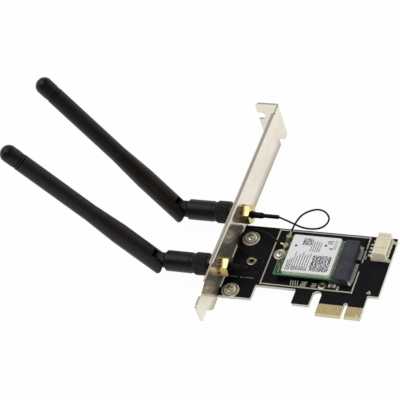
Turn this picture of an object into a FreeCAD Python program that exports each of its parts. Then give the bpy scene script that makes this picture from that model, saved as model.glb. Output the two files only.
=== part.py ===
import FreeCAD, Part
import os
from math import acos, cos, degrees, pi, radians, sin, tan

# Wireless card on a one-lane slot adapter board, with a slot bracket and two hinged antennas.
# Millimetres. The origin is the centre of the key notch, on the contact edge, at mid board thickness.
# X runs along the contact edge away from the bracket, Y up the bracket, Z out of the component side.

V = FreeCAD.Vector
AXIS_X, AXIS_Y, AXIS_Z = V(1, 0, 0), V(0, 1, 0), V(0, 0, 1)

# Adapter board
board_thick = 1.57
key_to_bracket_end = 58.8
key_to_free_end = 13.0
board_height = 45.4
foot_length = 15.4
foot_bottom = 4.8
lower_edge = 12.5
free_end_bottom = 12.9
corner_radius = 0.6
locating_tab_length = 8.1
locating_tab_bottom = 4.5
relief_slot_width = 4.15
relief_slot_top = 12.6

# Card edge contacts
key_width = 1.9
key_height = 7.9
contact_pitch = 1.0
contact_width = 0.7
contact_top = 5.8
contact_foil = 0.05
short_contact_step = 1.1
contacts_before_key = 11
contacts_after_key = 7
key_to_contact = 1.5
edge_margin = 0.65
bevel_height = 0.9
bevel_depth = 0.35

# Slot bracket
sheet = 0.86
bracket_height = 120.02
bracket_width = 18.42
bracket_foot = 12.47
bracket_gap = 0.6
board_to_front_edge = 14.64
bend_inside = 0.4
lip_depth = 1.75
front_lip_below_top = 6.3
back_lip_below_top = 9.7
front_lip_above_foot = 23.4
lip_relief = 0.4
head_overhang = 0.7
head_side = 3.4
notch_height = 1.0
notch_depth = 3.4
notch_corner = 0.4
screw_tab_depth = 12.0
screw_tab_corner = 2.0
screw_slot_width = 4.42
screw_slot_depth = 3.6
screw_slot_from_front = 7.95
tongue_width = 10.19
tongue_from_front = 1.75
tongue_length = 6.1
tongue_corner = 0.8
shoulder_rise = 4.7
front_shoulder_rise = 6.4
ear_width = 5.2
ear_length = 10.2
ear_corner = 2.0
ear_relief = 0.6
ear_relief_rise = 0.8

# Bracket screws
lower_screw_y = 7.9
bracket_screw_pitch = 29.8
bracket_screw_inset = 5.1
screw_shank = 3.0
screw_hole = 3.3
screw_flange = 8.0
screw_flange_height = 0.6
screw_head = 6.2
screw_head_height = 2.3
screw_head_cone = 1.0
screw_tail = 1.2
recess_width = 1.0
recess_length = 3.6
recess_depth = 1.2

# Plated rings and chip parts on the adapter board: x, y and outside diameter, or x, y and two sides
plated_ring_places = ((-49.5, 25.5, 4.8), (-13.4, 15.9, 4.0))
plated_bore = 2.2
plated_lip = 0.12
board_chip_places = ((-8.8, 15.9, 3.2, 1.6), (-5.9, 14.9, 1.0, 1.8))
board_chip_height = 0.55

# Wireless card
card_length = 30.0
card_width = 22.0
card_thick = 0.8
card_lift = 2.3
card_end_x = -36.1
card_bottom_y = 17.1
card_key_from_edge = 7.8
card_key_width = 1.2
card_key_depth = 3.2
card_screw_notch = 3.5
can_length = 22.4
can_width = 21.2
can_height = 1.95
can_from_card_end = 4.0
can_corner = 0.7
label_margin = 0.25
label_thick = 0.1
card_chip = (0.6, 1.1, 0.4)
card_chip_count = 9
card_chip_pitch = 2.05
card_chip_gap = 0.35
jack_side = 2.2
jack_base = 0.35
jack_ring = 1.7
jack_height = 0.75
jack_inset = 1.7
upper_jack_from_top = 1.6
lower_jack_from_top = 6.7

# Card standoff and screw
standoff_diameter = 4.6
card_screw_shank = 2.0
card_screw_flange = 5.7
card_screw_flange_height = 0.35
card_screw_head = 4.5
card_screw_head_height = 1.1
card_screw_cone = 0.4
card_screw_recess = 0.5

# Card socket
socket_top = 4.2
socket_depth = 6.4
socket_chamfer = 0.5
socket_lip = 2.6
socket_entry = 2.3
socket_clearance = 0.05
tail_pitch = 0.5
tail_width = 0.22
tail_reach = 0.9
tail_thick = 0.18
tails_below_key = 21
tails_above_key = 11
tail_margin = 2.1
hold_down_margin = 0.3
hold_down_width = 1.4
hold_down_height = 1.4

# Four-way cable header
header_x = 4.3
header_from_top_edge = 1.7
header_depth = 7.15
header_width = 11.7
header_height = 5.5
header_wall = 0.85
header_top_wall = 1.6
header_back_wall = 1.2
header_step_depth = 1.4
header_step_height = 2.6
header_floor = 1.3
header_groove = 0.35
header_groove_depth = 0.2
header_groove_low = 3.2
header_groove_high = 1.4
header_pin = 0.5
header_pin_pitch = 2.0
header_pin_count = 4
header_pin_height = 2.6
header_pin_reach = 5.4
header_foot_reach = 1.7
header_foot_thick = 0.25
header_anchor_width = 1.5
header_anchor_reach = 1.2
header_anchor_height = 1.0

# Bulkhead connectors
lower_connector_y = 16.7
connector_pitch = 30.5
connector_height = 5.5
connector_thread = 6.35
connector_flat = 2.85
connector_length = 8.6
bracket_hole_clearance = 0.1
hex_across = 8.0
hex_length = 3.3
hex_chamfer = 0.5
hex_turn_deg = 20.0
ferrule_diameter = 3.4
ferrule_length = 0.5
washer_thick = 1.0
washer_diameter = 8.6
washer_teeth = 10
washer_tooth = 0.7
nut_length = 2.4

# Heat-shrink sleeves: thick and thin diameters, thick length; the cord starts at the thin end
sleeve_thick = 2.8
sleeve_thin = 1.9
sleeve_step = 4.2
sleeve_slope = 1.2

# Coaxial cords and their plugs; route points are x, y and height above the board
cord_diameter = 0.85
cord_tangent_share = 0.45
plug_diameter = 2.4
plug_height = 1.1
plug_crimp = 1.0
plug_crimp_reach = 2.8
upper_plug_turn_deg = 90.0
lower_plug_turn_deg = 161.0
upper_cord_route = (
    (-42.3, 47.2, 5.5), (-37.0, 45.3, 5.6), (-28.2, 41.5, 5.8), (-19.8, 42.2, 6.2), (-17.4, 48.2, 6.8),
    (-23.4, 53.0, 7.3), (-30.6, 49.6, 7.4), (-33.6, 44.0, 6.0),
)
lower_cord_route = (
    (-46.6, 16.7, 5.5), (-41.4, 16.9, 5.2), (-41.1, 22.6, 4.6), (-46.4, 24.3, 3.8), (-54.3, 28.0, 2.6),
    (-58.4, 32.5, 2.3), (-58.1, 39.0, 2.3), (-53.5, 42.0, 2.4), (-46.9, 39.9, 3.0), (-41.6, 36.0, 3.8),
)

# Antennas
nut_gap = 1.0
nut_collar_diameter = 9.3
nut_collar_length = 1.65
nut_diameter = 10.3
nut_knurl_length = 6.4
nut_knurl_depth = 0.3
nut_knurl_count = 30
nut_chamfer = 0.7
nut_end_wall = 1.0
insert_wall = 0.6
insert_length = 5.2
swivel_clearance = 0.1
swivel_flange_length = 1.2
swivel_neck_diameter = 6.3
swivel_collar_diameter = 8.9
swivel_collar_length = 1.5
base_diameter = 9.4
base_length = 12.9
base_root_chamfer = 0.3
base_end_chamfer = 0.9
shoulder_to_pivot = 6.05
tongue_thick = 3.6
tongue_radius = 3.5
fork_clearance = 0.15
fork_reach = 4.7
fork_slot_depth = 4.3
pivot_boss_diameter = 2.6
pivot_boss_length = 1.2
stalk_root_diameter = 9.35
stalk_tip_diameter = 7.8
stalk_taper_start = 21.0
stalk_taper_end = 38.0
stalk_length = 88.0
tip_length = 10.0
tip_groove = 0.9
tip_groove_depth = 0.45
tip_round = 3.7
stalk_bore = 4.4
stalk_bore_start = 8.5
tip_plug_length = 4.0
tip_plug_clearance = 0.05
radiator_diameter = 2.2
radiator_length = 52.0
upper_lean_deg = 3.9
lower_lean_deg = -4.6
stalk_tilt_deg = 57.0

# Derived places
board_face = board_thick / 2
sheet_inside = -(key_to_bracket_end + bracket_gap)
sheet_outside = sheet_inside - sheet
bend_outside = bend_inside + sheet
front_edge = board_face + board_to_front_edge
back_edge = front_edge - bracket_width
bracket_bottom = -bracket_foot
bracket_top = bracket_bottom + bracket_height
front_lip_top = bracket_top - front_lip_below_top
back_lip_top = bracket_top - back_lip_below_top
front_lip_bottom = bracket_bottom + front_lip_above_foot
screw_x = -key_to_bracket_end + bracket_screw_inset
screw_rows = (lower_screw_y, lower_screw_y + bracket_screw_pitch)
card_floor = board_face + card_lift
card_face = card_floor + card_thick
card_middle = card_bottom_y + card_width / 2
card_top_y = card_bottom_y + card_width
card_inner_end = card_end_x + card_length
card_key_y = card_top_y - card_key_from_edge
can_left = card_end_x + can_from_card_end
jack_x = card_end_x + jack_inset
jack_rows = {"upper": card_top_y - upper_jack_from_top, "lower": card_top_y - lower_jack_from_top}
socket_left = card_inner_end - socket_entry
socket_right = socket_left + socket_depth
connector_z = board_face + connector_height
header_y = board_height - header_from_top_edge - header_width
connector_rows = {"upper": lower_connector_y + connector_pitch, "lower": lower_connector_y}
hex_start = sheet_inside + washer_thick
hex_end = hex_start + hex_length
sleeve_start = hex_end + ferrule_length
nut_start = sheet_outside - nut_length - nut_gap
nut_end = nut_start - nut_collar_length - nut_knurl_length
base_start = nut_end - swivel_clearance - swivel_collar_length
shoulder_x = base_start - base_length
pivot_x = shoulder_x - shoulder_to_pivot
insert_radius = connector_thread / 2 + insert_wall


def box(x0, x1, y0, y1, z0, z1):
    return Part.makeBox(x1 - x0, y1 - y0, z1 - z0, V(x0, y0, z0))


def rod(base, axis, diameter, length):
    return Part.makeCylinder(diameter / 2, length, base, axis)


def fused(shapes):
    return shapes[0].multiFuse(shapes[1:]).removeSplitter() if len(shapes) > 1 else shapes[0]


def export(name, *shapes):
    shape = shapes[0] if len(shapes) == 1 else Part.makeCompound(shapes)
    shape.exportStep("parts/" + name + ".step")


# A closed outline of (a, b, corner radius) points, lifted into space and extruded by depth
def outline(points, lift, depth):
    edges = []
    ends = []
    count = len(points)
    for i in range(count):
        here = lift(*points[i][:2])
        radius = points[i][2] if len(points[i]) > 2 else 0
        to_last = (lift(*points[i - 1][:2]) - here).normalize()
        to_next = (lift(*points[(i + 1) % count][:2]) - here).normalize()
        if radius <= 0:
            ends.append((here, here, None))
            continue
        half = acos(max(-1.0, min(1.0, to_last.dot(to_next)))) / 2
        middle = (to_last + to_next).normalize()
        reach = radius / tan(half)
        crown = here + middle * (radius / sin(half) - radius)
        ends.append((here + to_last * reach, here + to_next * reach, crown))
    for i in range(count):
        start, finish, crown = ends[i]
        if crown is not None:
            edges.append(Part.Arc(start, crown, finish).toShape())
        follow = ends[(i + 1) % count][0]
        if (follow - finish).Length > 1e-6:
            edges.append(Part.LineSegment(finish, follow).toShape())
    return Part.Face(Part.Wire(edges)).extrude(depth)


# A body of revolution from (distance along the axis, radius) points
def turned(profile, base, axis):
    points = [V(along, radius, 0) for along, radius in profile]
    face = Part.Face(Part.makePolygon(points + points[:1]))
    body = face.revolve(V(0, 0, 0), AXIS_X, 360)
    body.Placement = FreeCAD.Placement(base, FreeCAD.Rotation(AXIS_X, axis))
    return body


# A prism with corners evenly spaced on one or more radii, about an axis along X
def star_prism(radii, corners, x0, x1, y, z, turn):
    points = []
    for i in range(corners):
        angle = radians(turn) + 2 * pi * i / corners
        radius = radii[i % len(radii)]
        points.append(V(x0, y + radius * cos(angle), z + radius * sin(angle)))
    return Part.Face(Part.makePolygon(points + points[:1])).extrude(V(x1 - x0, 0, 0))


# Rounds the two corners at a bent leg's end, which are the edges as long as the sheet is thick
def rounded_end(leg, end, radius):
    edges = [e for e in leg.Edges if abs(e.Length - sheet) < 1e-6 and abs(e.CenterOfMass.x - end) < 1e-6]
    return leg.makeFillet(radius, edges)


def lift_xy(z):
    return lambda a, b: V(a, b, z)


def lift_yz(x):
    return lambda a, b: V(x, a, b)


def lift_xz(y):
    return lambda a, b: V(a, y, b)


# Adapter board
def make_board():
    left = -key_to_bracket_end
    right = key_to_free_end
    finger_left = -(key_to_contact + (contacts_before_key - 1) * contact_pitch + edge_margin)
    finger_right = key_to_contact + (contacts_after_key - 1) * contact_pitch + edge_margin
    tab_right = finger_left - relief_slot_width
    tab_left = tab_right - locating_tab_length
    half_key = key_width / 2
    half_slot = relief_slot_width / 2
    points = [
        (left, foot_bottom, corner_radius), (left + foot_length, foot_bottom, corner_radius),
        (left + foot_length, lower_edge, corner_radius), (tab_left, lower_edge, corner_radius),
        (tab_left, locating_tab_bottom, corner_radius), (tab_right, locating_tab_bottom, corner_radius),
        (tab_right, relief_slot_top, half_slot), (finger_left, relief_slot_top, half_slot),
        (finger_left, 0), (-half_key, 0), (-half_key, key_height, half_key), (half_key, key_height, half_key),
        (half_key, 0), (finger_right, 0), (finger_right, free_end_bottom, corner_radius),
        (right, free_end_bottom, corner_radius), (right, board_height, corner_radius),
        (left, board_height, corner_radius),
    ]
    board = outline(points, lift_xy(-board_face), V(0, 0, board_thick))
    holes = [(screw_x, y, screw_hole) for y in screw_rows]
    holes += [(x, y, plated_bore) for x, y, ring in plated_ring_places]
    bores = [rod(V(x, y, -board_thick), AXIS_Z, bore, 2 * board_thick) for x, y, bore in holes]
    bevels = []
    for side in (1, -1):
        face = side * board_face
        wedge = [(0, face - side * bevel_depth), (bevel_height, face), (0, face)]
        bevels.append(outline(wedge, lift_yz(finger_left), V(finger_right - finger_left, 0, 0)))
    return board.cut(Part.makeCompound(bores + bevels))


# Contacts of one face; the first contact of that face is shorter, as the last to mate
def make_contacts(side, short_index):
    pads = []
    centres = [-key_to_contact - i * contact_pitch for i in reversed(range(contacts_before_key))]
    centres += [key_to_contact + i * contact_pitch for i in range(contacts_after_key)]
    inner, outer = sorted((side * board_face, side * (board_face + contact_foil)))
    for i, x in enumerate(centres):
        bottom = bevel_height + (short_contact_step if i == short_index else 0)
        pads.append(box(x - contact_width / 2, x + contact_width / 2, bottom, contact_top, inner, outer))
    return pads


# A leg bent from the sheet: far and near are the sheet faces outside and inside the bend
def bent_leg(far, near, start, face, reach, lift, depth):
    inner = face + (sheet if start > face else -sheet)
    points = [
        (far, start), (far, face, bend_outside), (reach, face),
        (reach, inner), (near, inner, bend_inside), (near, start),
    ]
    return outline(points, lift, depth)


def make_lip(edge, bottom, top):
    start = edge - bend_outside if edge > board_face else edge + bend_outside
    reach = sheet_inside - lip_depth
    return bent_leg(sheet_inside, sheet_outside, start, edge, reach, lift_xz(bottom), V(0, top - bottom, 0))


def make_bracket():
    front = front_edge - bend_outside
    back = back_edge + bend_outside
    ear_start = -board_face + bend_inside
    relief = ear_start + ear_relief_rise
    tongue_front = front_edge - tongue_from_front
    tongue_back = tongue_front - tongue_width
    tongue_root = bracket_bottom + tongue_length
    front_shoulder = tongue_root + front_shoulder_rise
    flat_front_top = front_lip_bottom - lip_relief
    head_back = back_edge - head_overhang
    flat_top = bracket_top - bend_outside
    notch_top = back_lip_top + notch_height
    notch_floor = back + notch_depth - head_overhang
    points = [
        (bracket_bottom, tongue_back, tongue_corner), (bracket_bottom, tongue_front, tongue_corner),
        (tongue_root, tongue_front, tongue_corner), (front_shoulder, front_edge, tongue_corner),
        (flat_front_top, front_edge), (flat_front_top, front),
        (front_lip_top, front), (front_lip_top, front_edge), (flat_top, front_edge), (flat_top, head_back),
        (flat_top - head_side, head_back, tongue_corner), (notch_top, notch_floor, notch_corner),
        (back_lip_top, notch_floor, notch_corner), (back_lip_top, back),
    ]
    for y in reversed(screw_rows):
        high, low = y + ear_width / 2, y - ear_width / 2
        points += [(high + ear_relief, back), (high + ear_relief, relief), (high, relief), (high, ear_start)]
        points += [(low, ear_start), (low, relief), (low - ear_relief, relief), (low - ear_relief, back)]
    points += [(tongue_root + shoulder_rise, back), (tongue_root, tongue_back, tongue_corner)]
    pieces = [outline(points, lift_yz(sheet_outside), V(sheet, 0, 0))]

    pieces.append(make_lip(front_edge, front_lip_bottom, front_lip_top))
    ear_reach = ear_width / 2 + ear_relief
    pieces.append(make_lip(back_edge, screw_rows[0] + ear_reach, screw_rows[1] - ear_reach))
    pieces.append(make_lip(back_edge, screw_rows[1] + ear_reach, back_lip_top))

    tab_end = sheet_inside - screw_tab_depth
    tab = bent_leg(sheet_inside, sheet_outside, flat_top, bracket_top, tab_end,
                   lift_xy(head_back), V(0, 0, front_edge - head_back))
    pieces.append(rounded_end(tab, tab_end, screw_tab_corner))
    for y in screw_rows:
        ear_end = sheet_inside + ear_length
        ear = bent_leg(sheet_outside, sheet_inside, ear_start, -board_face - sheet, ear_end,
                       lift_xz(y - ear_width / 2), V(0, ear_width, 0))
        pieces.append(rounded_end(ear, ear_end, ear_corner))
    bracket = fused(pieces)

    cuts = []
    slot_z = front_edge - screw_slot_from_front
    slot_end = tab_end + screw_slot_depth
    half_slot = screw_slot_width / 2
    slot = [(tab_end - sheet, slot_z - half_slot), (slot_end, slot_z - half_slot, half_slot),
            (slot_end, slot_z + half_slot, half_slot), (tab_end - sheet, slot_z + half_slot)]
    cuts.append(outline(slot, lift_xz(bracket_top - 2 * sheet), V(0, 4 * sheet, 0)))
    for y in screw_rows:
        cuts.append(rod(V(screw_x, y, -board_face - 2 * sheet), AXIS_Z, screw_shank, 2 * sheet))
    for y in connector_rows.values():
        cuts.append(keyed_rod(sheet_outside - sheet, sheet_inside + sheet, y, bracket_hole_clearance))
    return bracket.cut(Part.makeCompound(cuts))


# A rod along X with one flat, as on the connector's thread, grown by a clearance
def keyed_rod(x0, x1, y, grow):
    radius = connector_thread / 2 + grow
    round_rod = rod(V(x0, y, connector_z), AXIS_X, 2 * radius, x1 - x0)
    flat = connector_z - connector_flat - grow
    return round_rod.common(box(x0, x1, y - radius, y + radius, flat, connector_z + radius))


# Screws with a flange and a cross recess, head on the given face
def make_screw(x, y, seat, flange, head, edge_cone, shank, length, recess):
    wide_rim, ledge = flange[0] / 2, flange[1]
    rim, height = head[0] / 2, head[1]
    top = seat + height
    profile = [(0, 0), (0, wide_rim), (ledge, wide_rim), (ledge, rim), (height - edge_cone, rim),
               (height, rim - edge_cone), (height, 0)]
    cap = turned(profile, V(x, y, seat), AXIS_Z)
    wide, long_side, deep = recess
    cross = [box(x - a / 2, x + a / 2, y - b / 2, y + b / 2, top - deep, top + deep)
             for a, b in ((wide, long_side), (long_side, wide))]
    return fused([cap, rod(V(x, y, seat - length), AXIS_Z, shank, length)]).cut(Part.makeCompound(cross))


def make_bracket_screws():
    length = board_thick + sheet + screw_tail
    recess = (recess_width, recess_length, recess_depth)
    flange, head = (screw_flange, screw_flange_height), (screw_head, screw_head_height)
    return [make_screw(screw_x, y, board_face, flange, head, screw_head_cone, screw_shank, length, recess)
            for y in screw_rows]


def make_plated_rings():
    rings = []
    for x, y, diameter in plated_ring_places:
        ring = rod(V(x, y, board_face), AXIS_Z, diameter, plated_lip)
        rings.append(ring.cut(rod(V(x, y, board_face), AXIS_Z, plated_bore, plated_lip)))
    return rings


def make_board_chips():
    return [box(x - a / 2, x + a / 2, y - b / 2, y + b / 2, board_face, board_face + board_chip_height)
            for x, y, a, b in board_chip_places]


# Wireless card
def make_card():
    card = box(card_end_x, card_inner_end, card_bottom_y, card_top_y, card_floor, card_face)
    notch = rod(V(card_end_x, card_middle, card_floor), AXIS_Z, card_screw_notch, card_thick)
    half = card_key_width / 2
    depth = card_inner_end - card_key_depth
    key = [(card_inner_end, card_key_y - half), (depth, card_key_y - half, half),
           (depth, card_key_y + half, half), (card_inner_end, card_key_y + half)]
    return card.cut(notch).cut(outline(key, lift_xy(card_floor), V(0, 0, card_thick)))


def can_outline(margin, bottom, height):
    x0, x1 = can_left + margin, can_left + can_length - margin
    y0, y1 = card_middle - can_width / 2 + margin, card_middle + can_width / 2 - margin
    points = [(x0, y0, can_corner), (x1, y0, can_corner), (x1, y1, can_corner), (x0, y1, can_corner)]
    return outline(points, lift_xy(bottom), V(0, 0, height))


def make_card_chips():
    wide, deep, high = card_chip
    x = can_left + can_length + card_chip_gap
    first = card_middle - (card_chip_count - 1) * card_chip_pitch / 2
    rows = [first + i * card_chip_pitch for i in range(card_chip_count)]
    return [box(x, x + wide, y - deep / 2, y + deep / 2, card_face, card_face + high) for y in rows]


def make_jack(y):
    half = jack_side / 2
    base = box(jack_x - half, jack_x + half, y - half, y + half, card_face, card_face + jack_base)
    return fused([base, rod(V(jack_x, y, card_face), AXIS_Z, jack_ring, jack_height)])


def make_standoff():
    post = rod(V(card_end_x, card_middle, board_face), AXIS_Z, standoff_diameter, card_lift)
    return post.cut(rod(V(card_end_x, card_middle, board_face), AXIS_Z, card_screw_shank, card_lift))


def make_card_screw():
    recess = (card_screw_recess, card_screw_head / 2, card_screw_head_height / 2)
    flange, head = (card_screw_flange, card_screw_flange_height), (card_screw_head, card_screw_head_height)
    return make_screw(card_end_x, card_middle, card_face, flange, head, card_screw_cone, card_screw_shank,
                      card_thick + card_lift, recess)


# Card socket: an upper jaw over the card's end and a lower lip under it, with the key rib in the mouth
def make_socket():
    bottom, top = board_face, board_face + socket_top
    gap = socket_clearance
    profile = [
        (socket_left - socket_lip, bottom), (socket_right, bottom),
        (socket_right, top - socket_chamfer), (socket_right - socket_chamfer, top),
        (socket_left + socket_chamfer, top), (socket_left, top - socket_chamfer),
        (socket_left, card_floor - gap), (socket_left - socket_lip, card_floor - gap),
    ]
    body = outline(profile, lift_xz(card_bottom_y), V(0, card_width, 0))
    mouth = box(socket_left - socket_lip, card_inner_end + gap, card_bottom_y, card_top_y,
                card_floor - gap, card_face + gap)
    half = card_key_width / 2 - gap
    rib = box(card_inner_end - card_key_depth + card_key_width, card_inner_end + gap,
              card_key_y - half, card_key_y + half, card_floor - gap, card_face + gap)
    return body.cut(mouth.cut(rib))


def make_socket_tails():
    bottom = board_face
    rows = [card_bottom_y + tail_margin + i * tail_pitch for i in range(tails_below_key)]
    rows += [card_top_y - tail_margin - i * tail_pitch for i in range(tails_above_key)]
    return [box(socket_right, socket_right + tail_reach, y - tail_width / 2, y + tail_width / 2,
                bottom, bottom + tail_thick) for y in rows]


def make_socket_hold_downs():
    pieces = []
    for y in (card_bottom_y + hold_down_margin, card_top_y - hold_down_margin - hold_down_width):
        plate = box(socket_right, socket_right + tail_thick, y, y + hold_down_width,
                    board_face, board_face + hold_down_height)
        foot = box(socket_right, socket_right + tail_reach, y, y + hold_down_width,
                   board_face, board_face + tail_thick)
        pieces.append(fused([plate, foot]))
    return pieces


# Cable header with its mouth towards the free end of the board
def header_pins():
    middle = header_y + header_width / 2
    first = middle - (header_pin_count - 1) * header_pin_pitch / 2
    level = board_face + header_pin_height
    half = header_pin / 2
    pins = []
    for i in range(header_pin_count):
        y = first + i * header_pin_pitch
        side = [
            (header_x - header_foot_reach, board_face), (header_x, board_face), (header_x, level - half),
            (header_x + header_pin_reach, level - half), (header_x + header_pin_reach, level + half),
            (header_x - header_pin, level + half), (header_x - header_pin, board_face + header_foot_thick),
            (header_x - header_foot_reach, board_face + header_foot_thick),
        ]
        pins.append(outline(side, lift_xz(y - half), V(0, header_pin, 0)))
    return pins


# The tail side is a low step, and two shallow grooves cross the roof
def make_header(pins):
    x1, y1 = header_x + header_depth, header_y + header_width
    step = header_x + header_step_depth
    top = board_face + header_height
    side = [
        (header_x, board_face), (x1, board_face), (x1, top), (step, top),
        (step, board_face + header_step_height), (header_x, board_face + header_step_height),
    ]
    body = outline(side, lift_xz(header_y), V(0, header_width, 0))
    inside = box(step + header_back_wall, x1, header_y + header_wall, y1 - header_wall,
                 board_face + header_floor, top - header_top_wall)
    grooves = [box(step, x1, y, y + header_groove, top - header_groove_depth, top)
               for y in (header_y + header_groove_low, y1 - header_groove_high - header_groove)]
    return body.cut(Part.makeCompound([inside] + grooves + pins))


def make_header_anchors():
    x1 = header_x + header_depth
    anchors = []
    for y in (header_y, header_y + header_width - header_anchor_width):
        plate = box(x1, x1 + header_foot_thick, y, y + header_anchor_width,
                    board_face, board_face + header_anchor_height)
        foot = box(x1, x1 + header_anchor_reach, y, y + header_anchor_width,
                   board_face, board_face + header_foot_thick)
        anchors.append(fused([plate, foot]))
    return anchors


# Bulkhead connector: hexagon and ferrule inside the bracket, threaded barrel through it
def hexagon(x0, x1, y):
    corner = hex_across / 2 / cos(pi / 6)
    prism = star_prism((corner,), 6, x0, x1, y, connector_z, hex_turn_deg)
    flat = hex_across / 2 + hex_chamfer * (corner - hex_across / 2)
    length = x1 - x0
    cone = [(0, 0), (0, flat), (hex_chamfer, corner)]
    cone += [(length - hex_chamfer, corner), (length, flat), (length, 0)]
    return prism.common(turned(cone, V(x0, y, connector_z), AXIS_X))


def make_connector(y):
    thread = keyed_rod(sheet_outside - connector_length, hex_start, y, 0)
    ferrule = rod(V(hex_end, y, connector_z), AXIS_X, ferrule_diameter, ferrule_length)
    return fused([hexagon(hex_start, hex_end, y), thread, ferrule])


def make_lock_washer(y):
    outer = washer_diameter / 2
    disc = star_prism((outer, outer, outer - washer_tooth, outer - washer_tooth), 4 * washer_teeth,
                      sheet_inside, hex_start, y, connector_z, 0)
    return disc.cut(keyed_rod(sheet_inside, hex_start, y, 0))


def make_hex_nut(y):
    start = sheet_outside - nut_length
    return hexagon(start, sheet_outside, y).cut(keyed_rod(start, sheet_outside, y, 0))


def make_sleeve(y, end):
    length = end - sleeve_start
    thick, thin = sleeve_thick / 2, sleeve_thin / 2
    slope_end = sleeve_step + sleeve_slope
    profile = [(0, 0), (0, thick), (sleeve_step, thick), (slope_end, thin), (length, thin), (length, 0)]
    return turned(profile, V(sleeve_start, y, connector_z), AXIS_X)


# Plug on a card jack; its crimp points away at the given turn from +X
def crimp_end(y, turn):
    level = card_face + jack_height + plug_height / 2
    return V(jack_x + plug_crimp_reach * cos(radians(turn)), y + plug_crimp_reach * sin(radians(turn)), level)


def make_plug(y, turn):
    end = crimp_end(y, turn)
    centre = V(jack_x, y, end.z)
    cap = rod(V(jack_x, y, card_face + jack_height), AXIS_Z, plug_diameter, plug_height)
    return fused([cap, rod(centre, (end - centre).normalize(), plug_crimp, plug_crimp_reach)])


# Cord along straight runs joined by tangent arcs, each as large as its runs allow
def make_cord(name, route, end):
    points = [V(x, y, board_face + z) for x, y, z in route] + [end]
    edges = []
    start = points[0]
    for before, here, after in zip(points, points[1:], points[2:]):
        back, ahead = (before - here), (after - here)
        reach = cord_tangent_share * min(back.Length, ahead.Length)
        turn = pi - back.getAngle(ahead)
        radius = reach / tan(turn / 2)
        back.normalize()
        ahead.normalize()
        middle = (back + ahead).normalize()
        crown = here + middle * (radius / cos(turn / 2) - radius)
        edges.append(Part.LineSegment(start, here + back * reach).toShape())
        edges.append(Part.Arc(here + back * reach, crown, here + ahead * reach).toShape())
        start = here + ahead * reach
        print(name, "turn", round(degrees(turn), 1), "radius", round(radius, 2))
    edges.append(Part.LineSegment(start, points[-1]).toShape())
    path = Part.Wire(edges)
    section = Part.Wire(Part.Circle(points[0], points[1] - points[0], cord_diameter / 2).toShape())
    tube = path.makePipeShell([section], True, False)
    expected = pi * cord_diameter ** 2 / 4 * path.Length
    print(name, "length", round(path.Length, 2), "volume share", round(tube.Volume / expected, 4))
    return tube


# Antenna pieces, made straight along -X and then swung to the lean and tilt seen
def outward(distance, y):
    return V(distance, y, connector_z)


def make_coupling_nut(y):
    collar, outer, length = nut_collar_diameter / 2, nut_diameter / 2, nut_start - nut_end
    neck = swivel_neck_diameter / 2 + swivel_clearance
    shell = [
        (0, insert_radius), (0, collar), (nut_collar_length, collar), (nut_collar_length, outer),
        (length - nut_chamfer, outer), (length, outer - nut_chamfer), (length, neck),
        (length - nut_end_wall, neck), (length - nut_end_wall, insert_radius),
    ]
    body = turned(shell, outward(nut_start, y), -AXIS_X)
    knurl_start = nut_start - nut_collar_length
    ridges = (outer, outer - nut_knurl_depth)
    ridge = star_prism(ridges, 2 * nut_knurl_count, nut_end, knurl_start, y, connector_z, 0)
    plain = rod(outward(knurl_start, y), AXIS_X, nut_collar_diameter, nut_collar_length)
    return body.common(fused([ridge, plain]))


def make_nut_insert(y):
    ring = rod(outward(nut_start - insert_length, y), AXIS_X, 2 * insert_radius, insert_length)
    return ring.cut(keyed_rod(nut_start - insert_length, nut_start, y, 0))


def make_swivel_base(y):
    flange_start = nut_end + nut_end_wall + swivel_clearance
    flange, neck = insert_radius - swivel_clearance, swivel_neck_diameter / 2
    collar, base = swivel_collar_diameter / 2, base_diameter / 2
    origin = flange_start + swivel_flange_length
    neck_end = origin - (nut_end - swivel_clearance)
    base_at = origin - base_start
    total = origin - shoulder_x
    profile = [
        (0, 0), (0, flange), (swivel_flange_length, flange), (swivel_flange_length, neck), (neck_end, neck),
        (neck_end, collar), (base_at, collar), (base_at, base - base_root_chamfer),
        (base_at + base_root_chamfer, base), (total - base_end_chamfer, base),
        (total, base - base_end_chamfer), (total, 0),
    ]
    body = turned(profile, outward(origin, y), -AXIS_X)
    half = tongue_thick / 2
    arm = [(shoulder_x, connector_z - tongue_radius), (shoulder_x, connector_z + tongue_radius),
           (pivot_x - tongue_radius, connector_z + tongue_radius, tongue_radius),
           (pivot_x - tongue_radius, connector_z - tongue_radius, tongue_radius)]
    tongue = outline(arm, lift_xz(y - half), V(0, tongue_thick, 0))
    boss_length = tongue_thick + 2 * pivot_boss_length
    boss = rod(V(pivot_x, y - boss_length / 2, connector_z), AXIS_Y, pivot_boss_diameter, boss_length)
    return fused([body, tongue, boss])


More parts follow.
